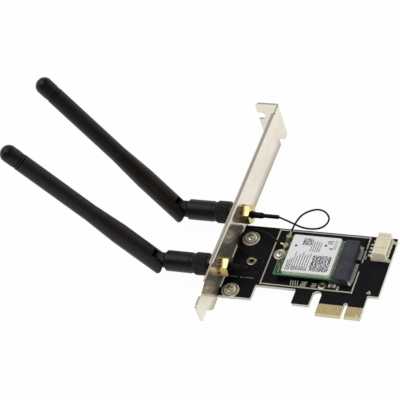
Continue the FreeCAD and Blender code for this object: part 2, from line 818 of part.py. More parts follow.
# The fork's end is flat below the pivot and round above it, so that the stalk can rise
def make_stalk(y):
    root, tip = stalk_root_diameter / 2, stalk_tip_diameter / 2
    tube_end = stalk_length - tip_length
    bore = stalk_bore / 2
    profile = [(-fork_reach, 0), (-fork_reach, root), (stalk_taper_start, root), (stalk_taper_end, tip),
               (tube_end, tip), (tube_end, bore), (stalk_bore_start, bore), (stalk_bore_start, 0)]
    body = turned(profile, outward(pivot_x, y), -AXIS_X)
    keep = fused([
        rod(V(pivot_x, y - root, connector_z), AXIS_Y, 2 * fork_reach, 2 * root),
        box(pivot_x - stalk_length, pivot_x, y - root, y + root, connector_z - root, connector_z + root),
        box(pivot_x - root, pivot_x + fork_reach, y - root, y + root, connector_z - root, connector_z),
    ])
    half = tongue_thick / 2 + fork_clearance
    slot = box(pivot_x - fork_slot_depth, pivot_x + shoulder_to_pivot, y - half, y + half,
               connector_z - root, connector_z + root)
    socket_length = tongue_thick + 2 * (pivot_boss_length + fork_clearance)
    socket = rod(V(pivot_x, y - socket_length / 2, connector_z), AXIS_Y,
                 pivot_boss_diameter + 2 * swivel_clearance, socket_length)
    return body.common(keep).cut(fused([slot, socket]))


def make_tip(y):
    tip, plug = stalk_tip_diameter / 2, stalk_bore / 2 - tip_plug_clearance
    groove = tip - tip_groove_depth
    profile = [(-tip_plug_length, 0), (-tip_plug_length, plug), (0, plug), (0, groove), (tip_groove, groove),
               (tip_groove, tip), (tip_length, tip), (tip_length, 0)]
    end = pivot_x - stalk_length
    cap = turned(profile, outward(end + tip_length, y), -AXIS_X)
    rim = [e for e in cap.Edges if abs(e.BoundBox.XMin - end) < 1e-6 and abs(e.BoundBox.XMax - end) < 1e-6]
    return cap.makeFillet(tip_round, rim)


def make_radiator(y):
    return rod(outward(pivot_x - stalk_bore_start, y), -AXIS_X, radiator_diameter, radiator_length)


def swung(shape, y, tilt, lean):
    moved = shape.copy()
    moved.rotate(V(pivot_x, y, connector_z), AXIS_Y, tilt)
    moved.rotate(V(pivot_x, y, connector_z), AXIS_X, -lean)
    return moved


# Export
pins = header_pins()
export("slot_bracket", make_bracket())
export("bracket_screws", *make_bracket_screws())
export("adapter_board", make_board())
export("edge_contacts_front", *make_contacts(1, contacts_before_key + contacts_after_key - 2))
export("edge_contacts_back", *make_contacts(-1, 0))
export("plated_rings", *make_plated_rings())
export("board_chips", *make_board_chips())
export("card_board", make_card())
export("card_shield_can", can_outline(0, card_face, can_height))
export("card_label", can_outline(label_margin, card_face + can_height, label_thick))
export("card_chips", *make_card_chips())
export("card_standoff", make_standoff())
export("card_screw", make_card_screw())
export("socket_housing", make_socket())
export("socket_tails", *make_socket_tails())
export("socket_hold_downs", *make_socket_hold_downs())
export("header_housing", make_header(pins))
export("header_pins", *pins)
export("header_anchors", *make_header_anchors())

routes = {"upper": upper_cord_route, "lower": lower_cord_route}
plug_turns = {"upper": upper_plug_turn_deg, "lower": lower_plug_turn_deg}
leans = {"upper": upper_lean_deg, "lower": lower_lean_deg}
for row, y in connector_rows.items():
    export(row + "_connector", make_connector(y))
    export(row + "_lock_washer", make_lock_washer(y))
    export(row + "_hex_nut", make_hex_nut(y))
    export(row + "_sleeve", make_sleeve(y, routes[row][0][0]))
    export(row + "_jack", make_jack(jack_rows[row]))
    export(row + "_plug", make_plug(jack_rows[row], plug_turns[row]))
    export(row + "_cord", make_cord(row + "_cord", routes[row], crimp_end(jack_rows[row], plug_turns[row])))
    export(row + "_coupling_nut", make_coupling_nut(y))
    export(row + "_nut_insert", make_nut_insert(y))
    export(row + "_swivel_base", swung(make_swivel_base(y), y, 0, leans[row]))
    export(row + "_stalk", swung(make_stalk(y), y, stalk_tilt_deg, leans[row]))
    export(row + "_stalk_tip", swung(make_tip(y), y, stalk_tilt_deg, leans[row]))
    export(row + "_radiator", swung(make_radiator(y), y, stalk_tilt_deg, leans[row]))
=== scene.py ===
import bmesh
import bpy
import numpy as np
from mathutils import Matrix, Vector


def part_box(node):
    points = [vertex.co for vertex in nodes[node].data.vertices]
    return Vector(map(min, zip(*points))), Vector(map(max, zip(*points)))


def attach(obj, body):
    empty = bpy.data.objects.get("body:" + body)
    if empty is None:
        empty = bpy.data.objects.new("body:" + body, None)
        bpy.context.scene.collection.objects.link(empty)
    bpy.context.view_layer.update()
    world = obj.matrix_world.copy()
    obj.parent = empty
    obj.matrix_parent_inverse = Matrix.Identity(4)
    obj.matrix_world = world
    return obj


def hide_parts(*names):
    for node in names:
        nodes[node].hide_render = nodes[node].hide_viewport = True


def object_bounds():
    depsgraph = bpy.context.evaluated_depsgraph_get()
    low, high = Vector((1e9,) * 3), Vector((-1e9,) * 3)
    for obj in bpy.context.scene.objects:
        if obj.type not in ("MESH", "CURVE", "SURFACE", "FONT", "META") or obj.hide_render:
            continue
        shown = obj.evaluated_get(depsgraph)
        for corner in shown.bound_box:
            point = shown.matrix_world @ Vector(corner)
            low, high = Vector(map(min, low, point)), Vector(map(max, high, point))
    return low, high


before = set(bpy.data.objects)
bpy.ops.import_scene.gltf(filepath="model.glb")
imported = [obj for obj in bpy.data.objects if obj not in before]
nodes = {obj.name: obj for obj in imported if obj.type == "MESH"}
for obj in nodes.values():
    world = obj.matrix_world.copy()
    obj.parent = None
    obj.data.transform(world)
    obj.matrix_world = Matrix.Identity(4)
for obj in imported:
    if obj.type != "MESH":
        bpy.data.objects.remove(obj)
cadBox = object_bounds()
mm = 0.001
dice = np.random.default_rng(11)  # every scatter below draws from this one seed
print("frame loaded", len(nodes), "nodes")


# colours and nodes

def hexColour(code):  # sRGB hex to linear RGBA
    srgb = np.array([int(code[i:i + 2], 16) for i in (1, 3, 5)]) / 255
    linear = np.where(srgb <= 0.04045, srgb / 12.92, ((srgb + 0.055) / 1.055) ** 2.4)
    return (*linear.tolist(), 1.0)


def addNode(tree, kind, feeds=(), **settings):  # feeds go to the sockets in their order, or by name or number
    node = tree.nodes.new(kind)
    for key, value in settings.items():
        if hasattr(node, key):
            setattr(node, key, value)
        else:
            node.inputs[key.replace("_", " ")].default_value = value
    for key, source in feeds.items() if isinstance(feeds, dict) else enumerate(feeds):
        if isinstance(source, bpy.types.Node):
            source = [output for output in source.outputs if output.enabled][0]
        if isinstance(source, bpy.types.NodeSocket):
            tree.links.new(source, node.inputs[key])
        else:
            node.inputs[key].default_value = hexColour(source) if isinstance(source, str) else source
    return node


# materials
# a pattern is (size in mm, noise detail) or (size in mm, texture, its settings), called by its number:
# tone is (pattern, first colour, second colour), with the pattern's span if it isn't the usual one,
# gloss is (pattern, lowest roughness, highest roughness),
# relief is (pattern, depth in mm, strength, radius in mm of the softened edges)

usualSpan = (0.3, 0.7)  # most of a noise lies between these


def makeSurface(name, patterns=(), tone=None, gloss=None, relief=None, **sockets):
    made = bpy.data.materials.new(name)
    made.use_nodes = True
    tree = made.node_tree
    tree.nodes.clear()
    shader = addNode(tree, "ShaderNodeBsdfPrincipled", **sockets)
    addNode(tree, "ShaderNodeOutputMaterial", {"Surface": shader})
    where = addNode(tree, "ShaderNodeTexCoord").outputs["Object"]
    fields, colour = [], None
    for size, *what in patterns:  # Object coordinates over the size: one unit of the texture is that size
        if len(what) == 1:
            what = ["ShaderNodeTexNoise", {"Detail": what[0], "Roughness": 0.55}]
        kind, settings = what
        point = addNode(tree, "ShaderNodeMapping", [where], Scale=(1 / (np.ones(3) * size * mm)).tolist())
        texture = addNode(tree, kind, [point], Scale=1.0, **settings)
        fields.append(texture.outputs["Fac" if "Fac" in texture.outputs else 0])
    if tone:
        pick, first, second, *span = tone
        share = addNode(tree, "ShaderNodeMapRange", [fields[pick], *(span or usualSpan), 0, 1])
        colour = addNode(tree, "ShaderNodeMix", {0: share, 6: first, 7: second}, data_type="RGBA")
        tree.links.new(colour.outputs[2], shader.inputs["Base Color"])
    if gloss:
        pick, low, high = gloss
        rough = addNode(tree, "ShaderNodeMapRange", [fields[pick], *usualSpan, low, high])
        tree.links.new(rough.outputs[0], shader.inputs["Roughness"])
    if relief:
        pick, depth, strength, radius = relief
        shape = addNode(tree, "ShaderNodeBump", {"Height": fields[pick]}, Strength=strength,
                        Distance=depth * mm)
        if radius:
            soft = addNode(tree, "ShaderNodeBevel", samples=4, Radius=radius * mm)
            tree.links.new(soft.outputs[0], shape.inputs["Normal"])
        tree.links.new(shape.outputs[0], shader.inputs["Normal"])
    return made, tree, shader, fields, colour


def mottled(*look, **sockets):  # a surface that needs no more than its patterns
    return makeSurface(*look, **sockets)[0]


# the band of painted shade along the back bend: its width from the back edge and its share
bentSheet = {"backEdge": -3.0, "shadeWidth": 6.4, "shadeShare": 0.9, "lipTop": 97.85, "fold": 0.1, "thin": 0.5,
             "cutSpan": (0.35, 0.75)}


def nickelPlate():  # bright nickel on cold-rolled sheet: warm mirror, rolling lines, dull cut edges, painted shade along the back bend
    made, tree, shader, _, plate = makeSurface(
        "NickelPlatedSteel", [(14, 3), ((0.12, 9, 0.12), 2)], (0, "#e6ddcc", "#f5eee0"), (0, 0.18, 0.24),
        (1, 0.0012, 0.25, 0.12), Metallic=0.9)
    within = addNode(tree, "ShaderNodeAmbientOcclusion", inside=True, only_local=True, samples=8,
                     Distance=bentSheet["thin"] * mm).outputs["AO"]
    edge = addNode(tree, "ShaderNodeMapRange", [within, *bentSheet["cutSpan"], 1, 0])  # 1 on the cut edges
    where = addNode(tree, "ShaderNodeTexCoord").outputs["Object"]
    spot = addNode(tree, "ShaderNodeSeparateXYZ", [where]).outputs
    back, top = bentSheet["backEdge"], bentSheet["lipTop"]
    shadeEnd, foldEnd = back + bentSheet["shadeWidth"], top + bentSheet["fold"]
    bend = [spot["Z"], back * mm, shadeEnd * mm, bentSheet["shadeShare"], 0]
    bendShadeRamp = addNode(tree, "ShaderNodeMapRange", bend)  # painted shade: darker towards the back bend, where the plate reflects the shadow under the bracket
    below = addNode(tree, "ShaderNodeMapRange", [spot["Y"], top * mm, foldEnd * mm, 1, 0])  # not on the tab
    bendShade = addNode(tree, "ShaderNodeMath", [bendShadeRamp, below], operation="MULTIPLY")
    # colour of the painted shade along the back bend
    bendShadedPlate = addNode(tree, "ShaderNodeMix", {0: bendShade, 6: plate, 7: "#86795f"}, data_type="RGBA")
    sheared = addNode(tree, "ShaderNodeMix", {0: edge, 6: bendShadedPlate, 7: "#8f8676"}, data_type="RGBA")
    tree.links.new(sheared.outputs[2], shader.inputs["Base Color"])
    return made


# painted shade in hollows: how far the occlusion looks, its span and its share
recessShade = {"reach": 1.2, "span": (0.5, 0.92), "share": 0.85}


def screwNickel(name, dark, light):  # plate on cold-headed wire, tumbled; painted shade darkens the cross recess, the dome's foot and the thread's valleys
    made, tree, shader, _, plate = makeSurface(
        name, [(1.6, 2)], (0, dark, light), (0, 0.1, 0.18), (0, 0.004, 0.2, 0.1), Metallic=0.65)
    around = addNode(tree, "ShaderNodeAmbientOcclusion", only_local=True, samples=8,
                     Distance=recessShade["reach"] * mm).outputs["AO"]
    # painted shade, most in the recess and round the dome's foot
    recessShadeShare = addNode(tree, "ShaderNodeMapRange", [around, *recessShade["span"], recessShade["share"], 0])
    colour = addNode(tree, "ShaderNodeMix", {0: recessShadeShare, 6: plate, 7: "#332d22"}, data_type="RGBA")
    tree.links.new(colour.outputs[2], shader.inputs["Base Color"])
    return made


# the share of Z in a face's normal, and mm up from the contact edge
maskLimits = {"tilt": (0.45, 0.55), "bevelTop": (0.88, 0.92)}


def blackSolderMask():  # black epoxy mask over glass laminate: satin faces, pale cut edge and pale bevel
    made, tree, shader, fields, mask = makeSurface(
        "BlackSolderMaskLaminate", [(6, 2), (0.7, 3), ((3, 3, 0.09), 3)], (0, "#0b0a0d", "#110f13", 0.4, 0.6),
        (1, 0.3, 0.42), (1, 0.01, 0.3, 0), IOR=1.52, Specular_IOR_Level=0.12)
    where = addNode(tree, "ShaderNodeTexCoord").outputs
    upright = addNode(tree, "ShaderNodeSeparateXYZ", [where["Normal"]]).outputs["Z"]
    facing = addNode(tree, "ShaderNodeMath", [upright], operation="ABSOLUTE")
    flat = addNode(tree, "ShaderNodeMapRange", [facing, *maskLimits["tilt"], 0, 1])
    height = addNode(tree, "ShaderNodeSeparateXYZ", [where["Object"]]).outputs["Y"]
    start, end = maskLimits["bevelTop"]
    masked = addNode(tree, "ShaderNodeMapRange", [height, start * mm, end * mm, 0, 1])  # none on the bevel
    layer = addNode(tree, "ShaderNodeMapRange", [fields[2], *usualSpan, 0, 1])
    edge = addNode(tree, "ShaderNodeMix", {0: layer, 6: "#c4beb0", 7: "#e2ddd2"}, data_type="RGBA")
    bevel = addNode(tree, "ShaderNodeMix", {0: layer, 6: "#c8c080", 7: "#d8d2a0"}, data_type="RGBA")
    face = addNode(tree, "ShaderNodeMix", {0: masked, 6: bevel, 7: mask}, data_type="RGBA")
    board = addNode(tree, "ShaderNodeMix", {0: flat, 6: edge, 7: face}, data_type="RGBA")
    tree.links.new(board.outputs[2], shader.inputs["Base Color"])
    return made


# sizes of the tracks in mm, and of the pads in shares of their pattern
greenCopper = {"tracks": {"Mortar_Size": 0.12, "Brick_Width": 0.9, "Row_Height": 0.36, "Mortar_Smooth": 0.1},
               "pads": (0.07, 0.11)}


def greenSolderMask():  # green mask over fine copper: tracks and pads show lighter
    made, tree, shader, fields, copper = makeSurface(
        "GreenSolderMaskLaminate",
        [(1, "ShaderNodeTexBrick", greenCopper["tracks"]), (0.7, "ShaderNodeTexVoronoi", {}), (0.4, 3)],
        (0, "#215c37", "#143f24", 0, 1), (2, 0.25, 0.38), (0, 0.02, 0.4, 0), IOR=1.52)
    dots = addNode(tree, "ShaderNodeMapRange", [fields[1], *greenCopper["pads"], 1, 0])
    colour = addNode(tree, "ShaderNodeMix", {0: dots, 6: copper, 7: "#6f9a6c"}, data_type="RGBA")
    tree.links.new(colour.outputs[2], shader.inputs["Base Color"])
    return made


def boardPrint(name, dark, light):  # epoxy ink, screen printed: matt, with a slightly uneven film
    return mottled(name, [(0.35, 4)], (0, dark, light), None, (0, 0.01, 0.3, 0), Roughness=0.7)


def goldPlate(name, dark, light):  # thin gold over nickel on turned brass: pale mirror, fine turning marks
    return mottled(name, [(3, 2), ((0.08, 2, 2), 2)], (0, dark, light), (0, 0.14, 0.22),
                   (1, 0.003, 0.3, 0.12), Metallic=1.0)


def solderedRing(name, dark, light):  # levelled pad of a hole: cream grey, a bead of solder over copper
    return mottled(name, [(1.1, 2)], (0, dark, light), (0, 0.16, 0.28), (0, 0.02, 0.3, 0), Metallic=0.9)


def labelInk(dark, light):  # thermal print: grey black, broken up by the paper
    return mottled("LabelPrintInk", [(0.3, 4)], (0, dark, light), Roughness=0.6)


finish = {
    "nickel": nickelPlate(),
    "screw": screwNickel("NickelPlatedWireScrew", "#e2d7ba", "#f8eed6"),
    "cardScrew": screwNickel("CopperedWireScrew", "#d2c4b4", "#ece2d6"),
    "mask": blackSolderMask(),
    "green": greenSolderMask(),
    "print": boardPrint("ScreenPrintInk", "#a49c89", "#cbc4b3"),
    "whitePrint": boardPrint("WhiteScreenPrintInk", "#b8b6ae", "#dedcd6"),
    "gold": goldPlate("GoldPlatedBrass", "#c6b16c", "#e0d3a0"),
    "plug": goldPlate("GoldFlashedPlug", "#cdc193", "#e8e0bd"),
    # the left pad: the same solder as the right one, drawn darker
    "leftRing": solderedRing("LevelledSolderPad", "#8d8564", "#bdb598"),
    "rightRing": solderedRing("FilledSolderPad", "#b5ac8c", "#dcd5bd"),
    "ink": labelInk("#3a3a3f", "#6e6e75"),
    "inkDark": labelInk("#2c2c31", "#505057"),
    # copper line under the black mask: the mask looks a shade lighter there; the disc of painted shade at the
    # back of the holes uses it too
    "trace": mottled("SolderMaskOverCopper", [(0.5, 3)], (0, "#0d0c10", "#131216"), (0, 0.26, 0.38),
                     IOR=1.52, Specular_IOR_Level=0.14),
    # spring washer, barrel plated: the same gold, but matt
    "washer": mottled("BarrelPlatedWasher", [(0.8, 3)], (0, "#b0954a", "#d8c07c"), (0, 0.2, 0.32),
                      Metallic=1.0),
    # gold fingers: flat pale gold, rubbed along the insertion way
    "contact": mottled("GoldPlatedContact", [((0.12, 3, 0.5), 3)], (0, "#b09853", "#c8b576"), (0, 0.32, 0.46),
                       Metallic=0.6),
    # hot-tinned copper: soft grey white with a flow texture
    "tin": mottled("TinnedCopper", [(0.4, 4)], (0, "#c4c2b8", "#ecebe4"), (0, 0.22, 0.4),
                   (0, 0.02, 0.4, 0.05), Metallic=0.45),
    # tinned shield sheet: hazy grey, with a green tint painted in as the board's reflection beside it
    "shield": mottled("TinnedShieldSheet", [(1.2, 4)], (0, "#a8c0a4", "#d8e6d4"), (0, 0.28, 0.42),
                      (0, 0.01, 0.3, 0.15), Metallic=0.35),
    # glass laminate under a thin green film: lighter than the mask over copper
    "border": mottled("GreenLaminateBorder", [(0.6, 3)], (0, "#3f8a4f", "#6db27a"), IOR=1.52, Roughness=0.4),
    # coated white label: slight sheen, faint fibre mottling
    "label": mottled("CoatedLabelPaper", [(0.5, 4)], (0, "#dddddf", "#ebebed"), (0, 0.45, 0.6),
                     (0, 0.008, 0.3, 0), IOR=1.48),
    # glass-filled nylon, moulded: dark slate, spark-eroded grain drawn coarser than the real one, to show
    "slate": mottled("MouldedSlateNylon", [(4, 2), (0.16, 3)], (0, "#2b2c37", "#393a46"), (1, 0.42, 0.58),
                     (1, 0.012, 0.4, 0.12), IOR=1.53, Specular_IOR_Level=0.35),
    # natural nylon, moulded: cream, slightly see-through, soft sheen
    "cream": mottled("MouldedNaturalNylon", [(3, 3), (0.25, 3)], (0, "#d9d1b5", "#e6dfc6"), (1, 0.38, 0.52),
                     (1, 0.012, 0.35, 0.15), IOR=1.53, Subsurface_Weight=0.12, Subsurface_Scale=0.6 * mm),
    # elastomer, moulded in a satin tool: near black, soft wide highlight, grain drawn coarse, to show
    "antenna": mottled("MouldedBlackElastomer", [(9, 4), (0.12, 2)], (0, "#0f0a06", "#140f0a"),
                       (0, 0.36, 0.44), (1, 0.0015, 0.3, 0.18), IOR=1.5, Specular_IOR_Level=0.3),
    # fluoropolymer cord jacket, extruded: smooth and slightly glossy
    "jacket": mottled("ExtrudedBlackJacket", [(0.5, 3)], (0, "#070607", "#0c0b0d"), (0, 0.28, 0.4),
                      IOR=1.4, Specular_IOR_Level=0.18),
    # polyolefin shrink sleeve: matt black, shrunk on with a fine wrinkle
    "shrink": mottled("ShrunkPolyolefin", [((0.5, 0.9, 0.9), 4)], (0, "#090809", "#111012"), (0, 0.4, 0.56),
                      (0, 0.03, 0.35, 0), IOR=1.49, Specular_IOR_Level=0.14),
    # sintered chip parts: brown body, each a slightly different shade
    "ceramic": mottled("SinteredChipCeramic", [(1.5, 1), (0.1, 3)], (0, "#5a5444", "#8f886f", 0.4, 0.6), None,
                       (1, 0.008, 0.3, 0.05), Roughness=0.5),
    # bare brass, turned: fine rings across the axis
    "brass": mottled("TurnedBrass", [((0.1, 1.5, 1.5), 2)], (0, "#b08d45", "#d2b066"), (0, 0.22, 0.36),
                     Metallic=1.0),
    # glass laminate with no mask: pinkish tan, the weave showing faintly
    "laminate": mottled("BareGlassLaminate", [(0.4, "ShaderNodeTexChecker", {})],
                        (0, "#d2bfaa", "#dac9b5", 0, 1), IOR=1.52, Roughness=0.5),
}
nodeFinish = {
    "nickel": ["slot_bracket"],
    "screw": ["bracket_screws", "card_standoff"],
    "cardScrew": ["card_screw"],
    "mask": ["adapter_board"],
    "contact": ["edge_contacts_front", "edge_contacts_back"],
    "gold": ["upper_connector", "lower_connector", "upper_hex_nut", "lower_hex_nut"],
    "plug": ["upper_jack", "lower_jack", "upper_plug", "lower_plug"],
    "tin": ["plated_rings", "socket_tails", "socket_hold_downs", "header_pins", "header_anchors"],
    "ceramic": ["board_chips", "card_chips"],
    "green": ["card_board"],
    "shield": ["card_shield_can"],
    "label": ["card_label"],
    "slate": ["socket_housing"],
    "cream": ["header_housing"],
    "shrink": ["upper_sleeve", "lower_sleeve"],
    "jacket": ["upper_cord", "lower_cord"],
    "antenna": ["upper_coupling_nut", "lower_coupling_nut", "upper_swivel_base", "lower_swivel_base",
                "upper_stalk", "lower_stalk", "upper_stalk_tip", "lower_stalk_tip"],
    "washer": ["upper_lock_washer", "lower_lock_washer"],
    "brass": ["upper_nut_insert", "lower_nut_insert", "upper_radiator", "lower_radiator"],
}
for key, names in nodeFinish.items():
    for name in names:
        nodes[name].data.materials.clear()
        nodes[name].data.materials.append(finish[key])
print("materials set")


# meshes

def place(name, mesh, key, body="card"):  # a piece with the finish of that key, riding on a body
    mesh.name = name
    mesh.materials.append(finish[key])
    piece = bpy.data.objects.new(name, mesh)
    bpy.context.scene.collection.objects.link(piece)
    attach(piece, body)
    return piece


def meshFrom(points, faces):  # points in metres
    mesh = bpy.data.meshes.new("piece")
    mesh.from_pydata(points.reshape(-1, 3).tolist(), [], faces.reshape(-1, 4).tolist())
    return mesh


def tidyMesh(mesh, sharpDeg=35):  # merges poles and seams, turns faces outwards, smooths below the angle
    work = bmesh.new()
    work.from_mesh(mesh)
    bmesh.ops.remove_doubles(work, verts=work.verts, dist=1e-7)
    bmesh.ops.recalc_face_normals(work, faces=work.faces)
    work.to_mesh(mesh)
    work.free()
    mesh.polygons.foreach_set("use_smooth", np.ones(len(mesh.polygons), bool))
    mesh.set_sharp_from_angle(angle=np.radians(sharpDeg))
    return mesh


def gridMesh(points, loopU=False, loopV=True):  # quads over a (u, v) grid of points in mm
    countU, countV = points.shape[:2]
    u = np.arange(countU if loopU else countU - 1)
    v = np.arange(countV if loopV else countV - 1)
    u, v = [a.ravel() for a in np.meshgrid(u, v, indexing="ij")]
    nextU, nextV = (u + 1) % countU, (v + 1) % countV
    faces = np.stack([u * countV + v, nextU * countV + v, nextU * countV + nextV, u * countV + nextV], 1)
    return tidyMesh(meshFrom(points * mm, faces))


def prismSet(rings, low, high):  # four-cornered rings in mm, each drawn up from its low to its high level
    floor, roof = [np.concatenate([rings, np.repeat(z, 4).reshape(-1, 4, 1)], 2) for z in (low, high)]
    sides = np.array([[3, 2, 1, 0], [4, 5, 6, 7], [0, 1, 5, 4], [1, 2, 6, 5], [2, 3, 7, 6], [3, 0, 4, 7]])
    faces = sides[None] + 8 * np.arange(len(rings))[:, None, None]
    return meshFrom(np.concatenate([floor, roof], 1) * mm, faces)


def boxSet(lows, highs):  # many boxes from their low and high corners, in mm
    x0, y0, z0 = np.array(lows, float).T
    x1, y1, z1 = np.array(highs, float).T
    rings = np.stack([np.c_[x0, y0], np.c_[x1, y0], np.c_[x1, y1], np.c_[x0, y1]], 1)
    return prismSet(rings, z0, z1)


def ribbonSet(lines, width, low, high, stagger=0.003):  # a flat bar on each straight stretch of a line, in mm
    starts = np.concatenate([np.array(line[:-1], float) for line in lines])
    ends = np.concatenate([np.array(line[1:], float) for line in lines])
    along = ends - starts
    along *= width / 2 / np.linalg.norm(along, axis=1, keepdims=True)
    across = np.c_[-along[:, 1], along[:, 0]]
    starts, ends = starts - along, ends + along
    rings = np.stack([starts - across, ends - across, ends + across, starts + across], 1)
    roofs = high + stagger * (np.arange(len(rings)) % 5)  # so bars that cross share no face
    return prismSet(rings, np.full(len(rings), low), roofs)


def turnSet(centres, profile, count=16):  # one (radius, height) line in mm turned about Z at each centre
    profile, centres = np.array(profile, float), np.array(centres, float)
    angle = np.linspace(0, 2 * np.pi, count, endpoint=False)
    flat = profile[:, None, :1] * np.stack([np.cos(angle), np.sin(angle)], 1)[None]
    shape = np.concatenate([flat, np.broadcast_to(profile[:, None, 1:], (len(profile), count, 1))], 2)
    points = (shape[None] + centres[:, None, None]) * mm
    row, step = [a.ravel() for a in np.meshgrid(np.arange(len(profile) - 1), np.arange(count), indexing="ij")]
    after = (step + 1) % count
    here, there = row * count, (row + 1) * count
    quad = np.stack([here + step, here + after, there + after, there + step], 1)
    faces = quad[None] + len(profile) * count * np.arange(len(centres))[:, None, None]
    return tidyMesh(meshFrom(points, faces))


def scatter(x0, x1, y0, y1, count):  # points spread evenly over a rectangle, all X drawn before all Y
    return np.c_[dice.uniform(x0, x1, count), dice.uniform(y0, y1, count)]


def boxMm(node):  # lowest and highest corner of a node at rest, in mm
    return [np.array(corner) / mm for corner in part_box(node)]


boardTop = boxMm("adapter_board")[1][2]
labelTop = boxMm("card_label")[1][2]
cardTop = boxMm("card_board")[1][2]

# cords: control points in mm, height above the board
cordUpper = {
    "points": [(-42.3, 47.2, 5.5), (-37.0, 45.3, 5.6), (-28.2, 41.5, 5.8), (-19.8, 42.2, 6.2),
               (-17.4, 48.2, 6.8), (-23.4, 53.0, 7.3), (-30.6, 49.6, 7.4), (-33.6, 44.0, 6.0),
               (-34.4, 40.3, 4.4)],
    "length": 0.0539, "diameter": 0.00085, "nodes": ["upper_plug"],
}
cordLower = {
    "points": [(-46.6, 16.7, 5.5), (-41.4, 16.9, 5.2), (-41.1, 22.6, 4.6), (-46.4, 24.3, 3.8),
               (-54.3, 28.0, 2.6), (-58.4, 32.5, 2.3), (-58.1, 39.0, 2.3), (-53.5, 42.0, 2.4),
               (-46.9, 39.9, 3.0), (-41.6, 36.0, 3.8), (-37.05, 33.31, 4.4)],
    "length": 0.0596, "diameter": 0.00085, "nodes": ["lower_plug"],
}


def layCord(name, cord, node):  # a NURBS line led by the route's control points, with a round section
    curve = bpy.data.curves.new(name, "CURVE")
    curve.dimensions = "3D"
    spline = curve.splines.new("NURBS")
    route = np.array(cord["points"]) + (0, 0, boardTop)
    spline.points.add(len(route) - 1)
    spline.points.foreach_set("co", np.c_[route * mm, np.ones(len(route))].ravel())
    spline.order_u = 3
    spline.use_endpoint_u = True
    spline.resolution_u = 12
    curve.bevel_depth = cord["diameter"] / 2
    curve.bevel_resolution = 5
    curve.use_fill_caps = True
    curve.materials.append(finish["jacket"])
    piece = bpy.data.objects.new(name, curve)
    bpy.context.scene.collection.objects.link(piece)
    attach(piece, "card")
    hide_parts(node)


layCord("upperLead", cordUpper, "upper_cord")
layCord("lowerLead", cordLower, "lower_cord")
print("cords laid")

# flat work on the boards, in mm

printed = {
    "film": 0.03, "frameWidth": 0.6, "fineWidth": 0.3, "dashWidth": 0.2,
    "frame": [[(-41.65, 13.4), (-41.65, 44.7)], [(-41.65, 13.65), (0.65, 13.65)],
              [(-41.65, 44.55), (0.65, 44.55)], [(0.65, 13.4), (0.65, 25.1)],
              [(0.65, 30.6), (0.65, 37.0)], [(0.65, 38.5), (0.65, 44.7)]],
    "fine": [[(-27.6 + 1.05 * i, 14.4), (-28.1 + 1.05 * i, 17.0)] for i in range(4)]
    + [[(-23.4 + 0.15 * i, 14.4 + 0.75 * i), (-20.9 + 0.1 * i, 14.5 + 0.75 * i)] for i in range(4)]
    + [[(-18.1, 14.6 + 0.8 * i), (-16.2, 14.7 + 0.8 * i)] for i in range(3)]
    + [[(7.4, 14.1), (9.0, 14.1), (8.2, 15.4), (7.4, 14.1)], [(1.6, 32.6), (1.6, 34.0)]],
    "dashRow": 15.9, "dashPitch": 0.66, "dashLength": 0.396,
    "dashRuns": [(-56.2, -53.4), (-51.7, -51.0), (-49.9, -45.7)],
}


def boardInk():  # frame line, plain bars and a row of dashes, a thin film on the mask
    row, length = printed["dashRow"], printed["dashLength"]
    spots = np.concatenate([np.arange(*run, printed["dashPitch"]) for run in printed["dashRuns"]])
    dashes = [[(x, row), (x + length, row)] for x in spots]
    for name, lines, width, key in (("boardFrameLine", printed["frame"], "frameWidth", "print"),
                                    ("boardFineLines", printed["fine"], "fineWidth", "whitePrint"),
                                    ("boardDashes", dashes, "dashWidth", "print")):
        place(name, ribbonSet(lines, printed[width], boardTop, boardTop + printed["film"]), key)


footprint = {  # pads: reach in X, middles in Y, half width
    "headerTails": ((2.0, 4.2), 34.85 + 2.0 * np.arange(4), 0.5),
    "headerAnchors": ((11.3, 12.85), np.array([32.75, 42.95]), 0.9),
    "socketHoldDowns": ((-2.0, -0.9), np.array([18.1, 38.1]), 0.8),
    "socketTails": ((-2.0, -0.4), np.r_[19.2 + 0.5 * np.arange(21), 37.0 - 0.5 * np.arange(11)], 0.17),
}
padFilm = 0.05


def footprintPads():  # tinned pads under the header's tails and anchors and the socket's tails and hold-downs
    spots = [(x0, x1, y - half, y + half) for (x0, x1), rows, half in footprint.values() for y in rows]
    x0, x1, y0, y1 = np.array(spots).T
    level = np.full(len(spots), boardTop)
    place("boardPads", boxSet(np.c_[x0, y0, level], np.c_[x1, y1, level + padFilm]), "tin")


canTabs = {"pitch": 2.1, "length": 1.35, "low": 0.2, "high": 1.3, "proud": 0.05, "first": 0.9, "last": 0.6}


def canSpringTabs():  # a row of spring tabs pressed out of the can's front and socket sides
    (x0, y0, _), (x1, y1, _) = boxMm("card_shield_can")
    bottom, top = cardTop + canTabs["low"], cardTop + canTabs["high"]
    length, proud, pitch = canTabs["length"], canTabs["proud"], canTabs["pitch"]
    front, side = [np.arange(low + canTabs["first"], high - length - canTabs["last"], pitch)
                   for low, high in ((x0, x1), (y0, y1))]
    lows = [(x, y0 - proud, bottom) for x in front] + [(x1, y, bottom) for y in side]
    highs = [(x + length, y0, top) for x in front] + [(x1 + proud, y + length, top) for y in side]
    place("canSpringTabs", boxSet(lows, highs), "tin")


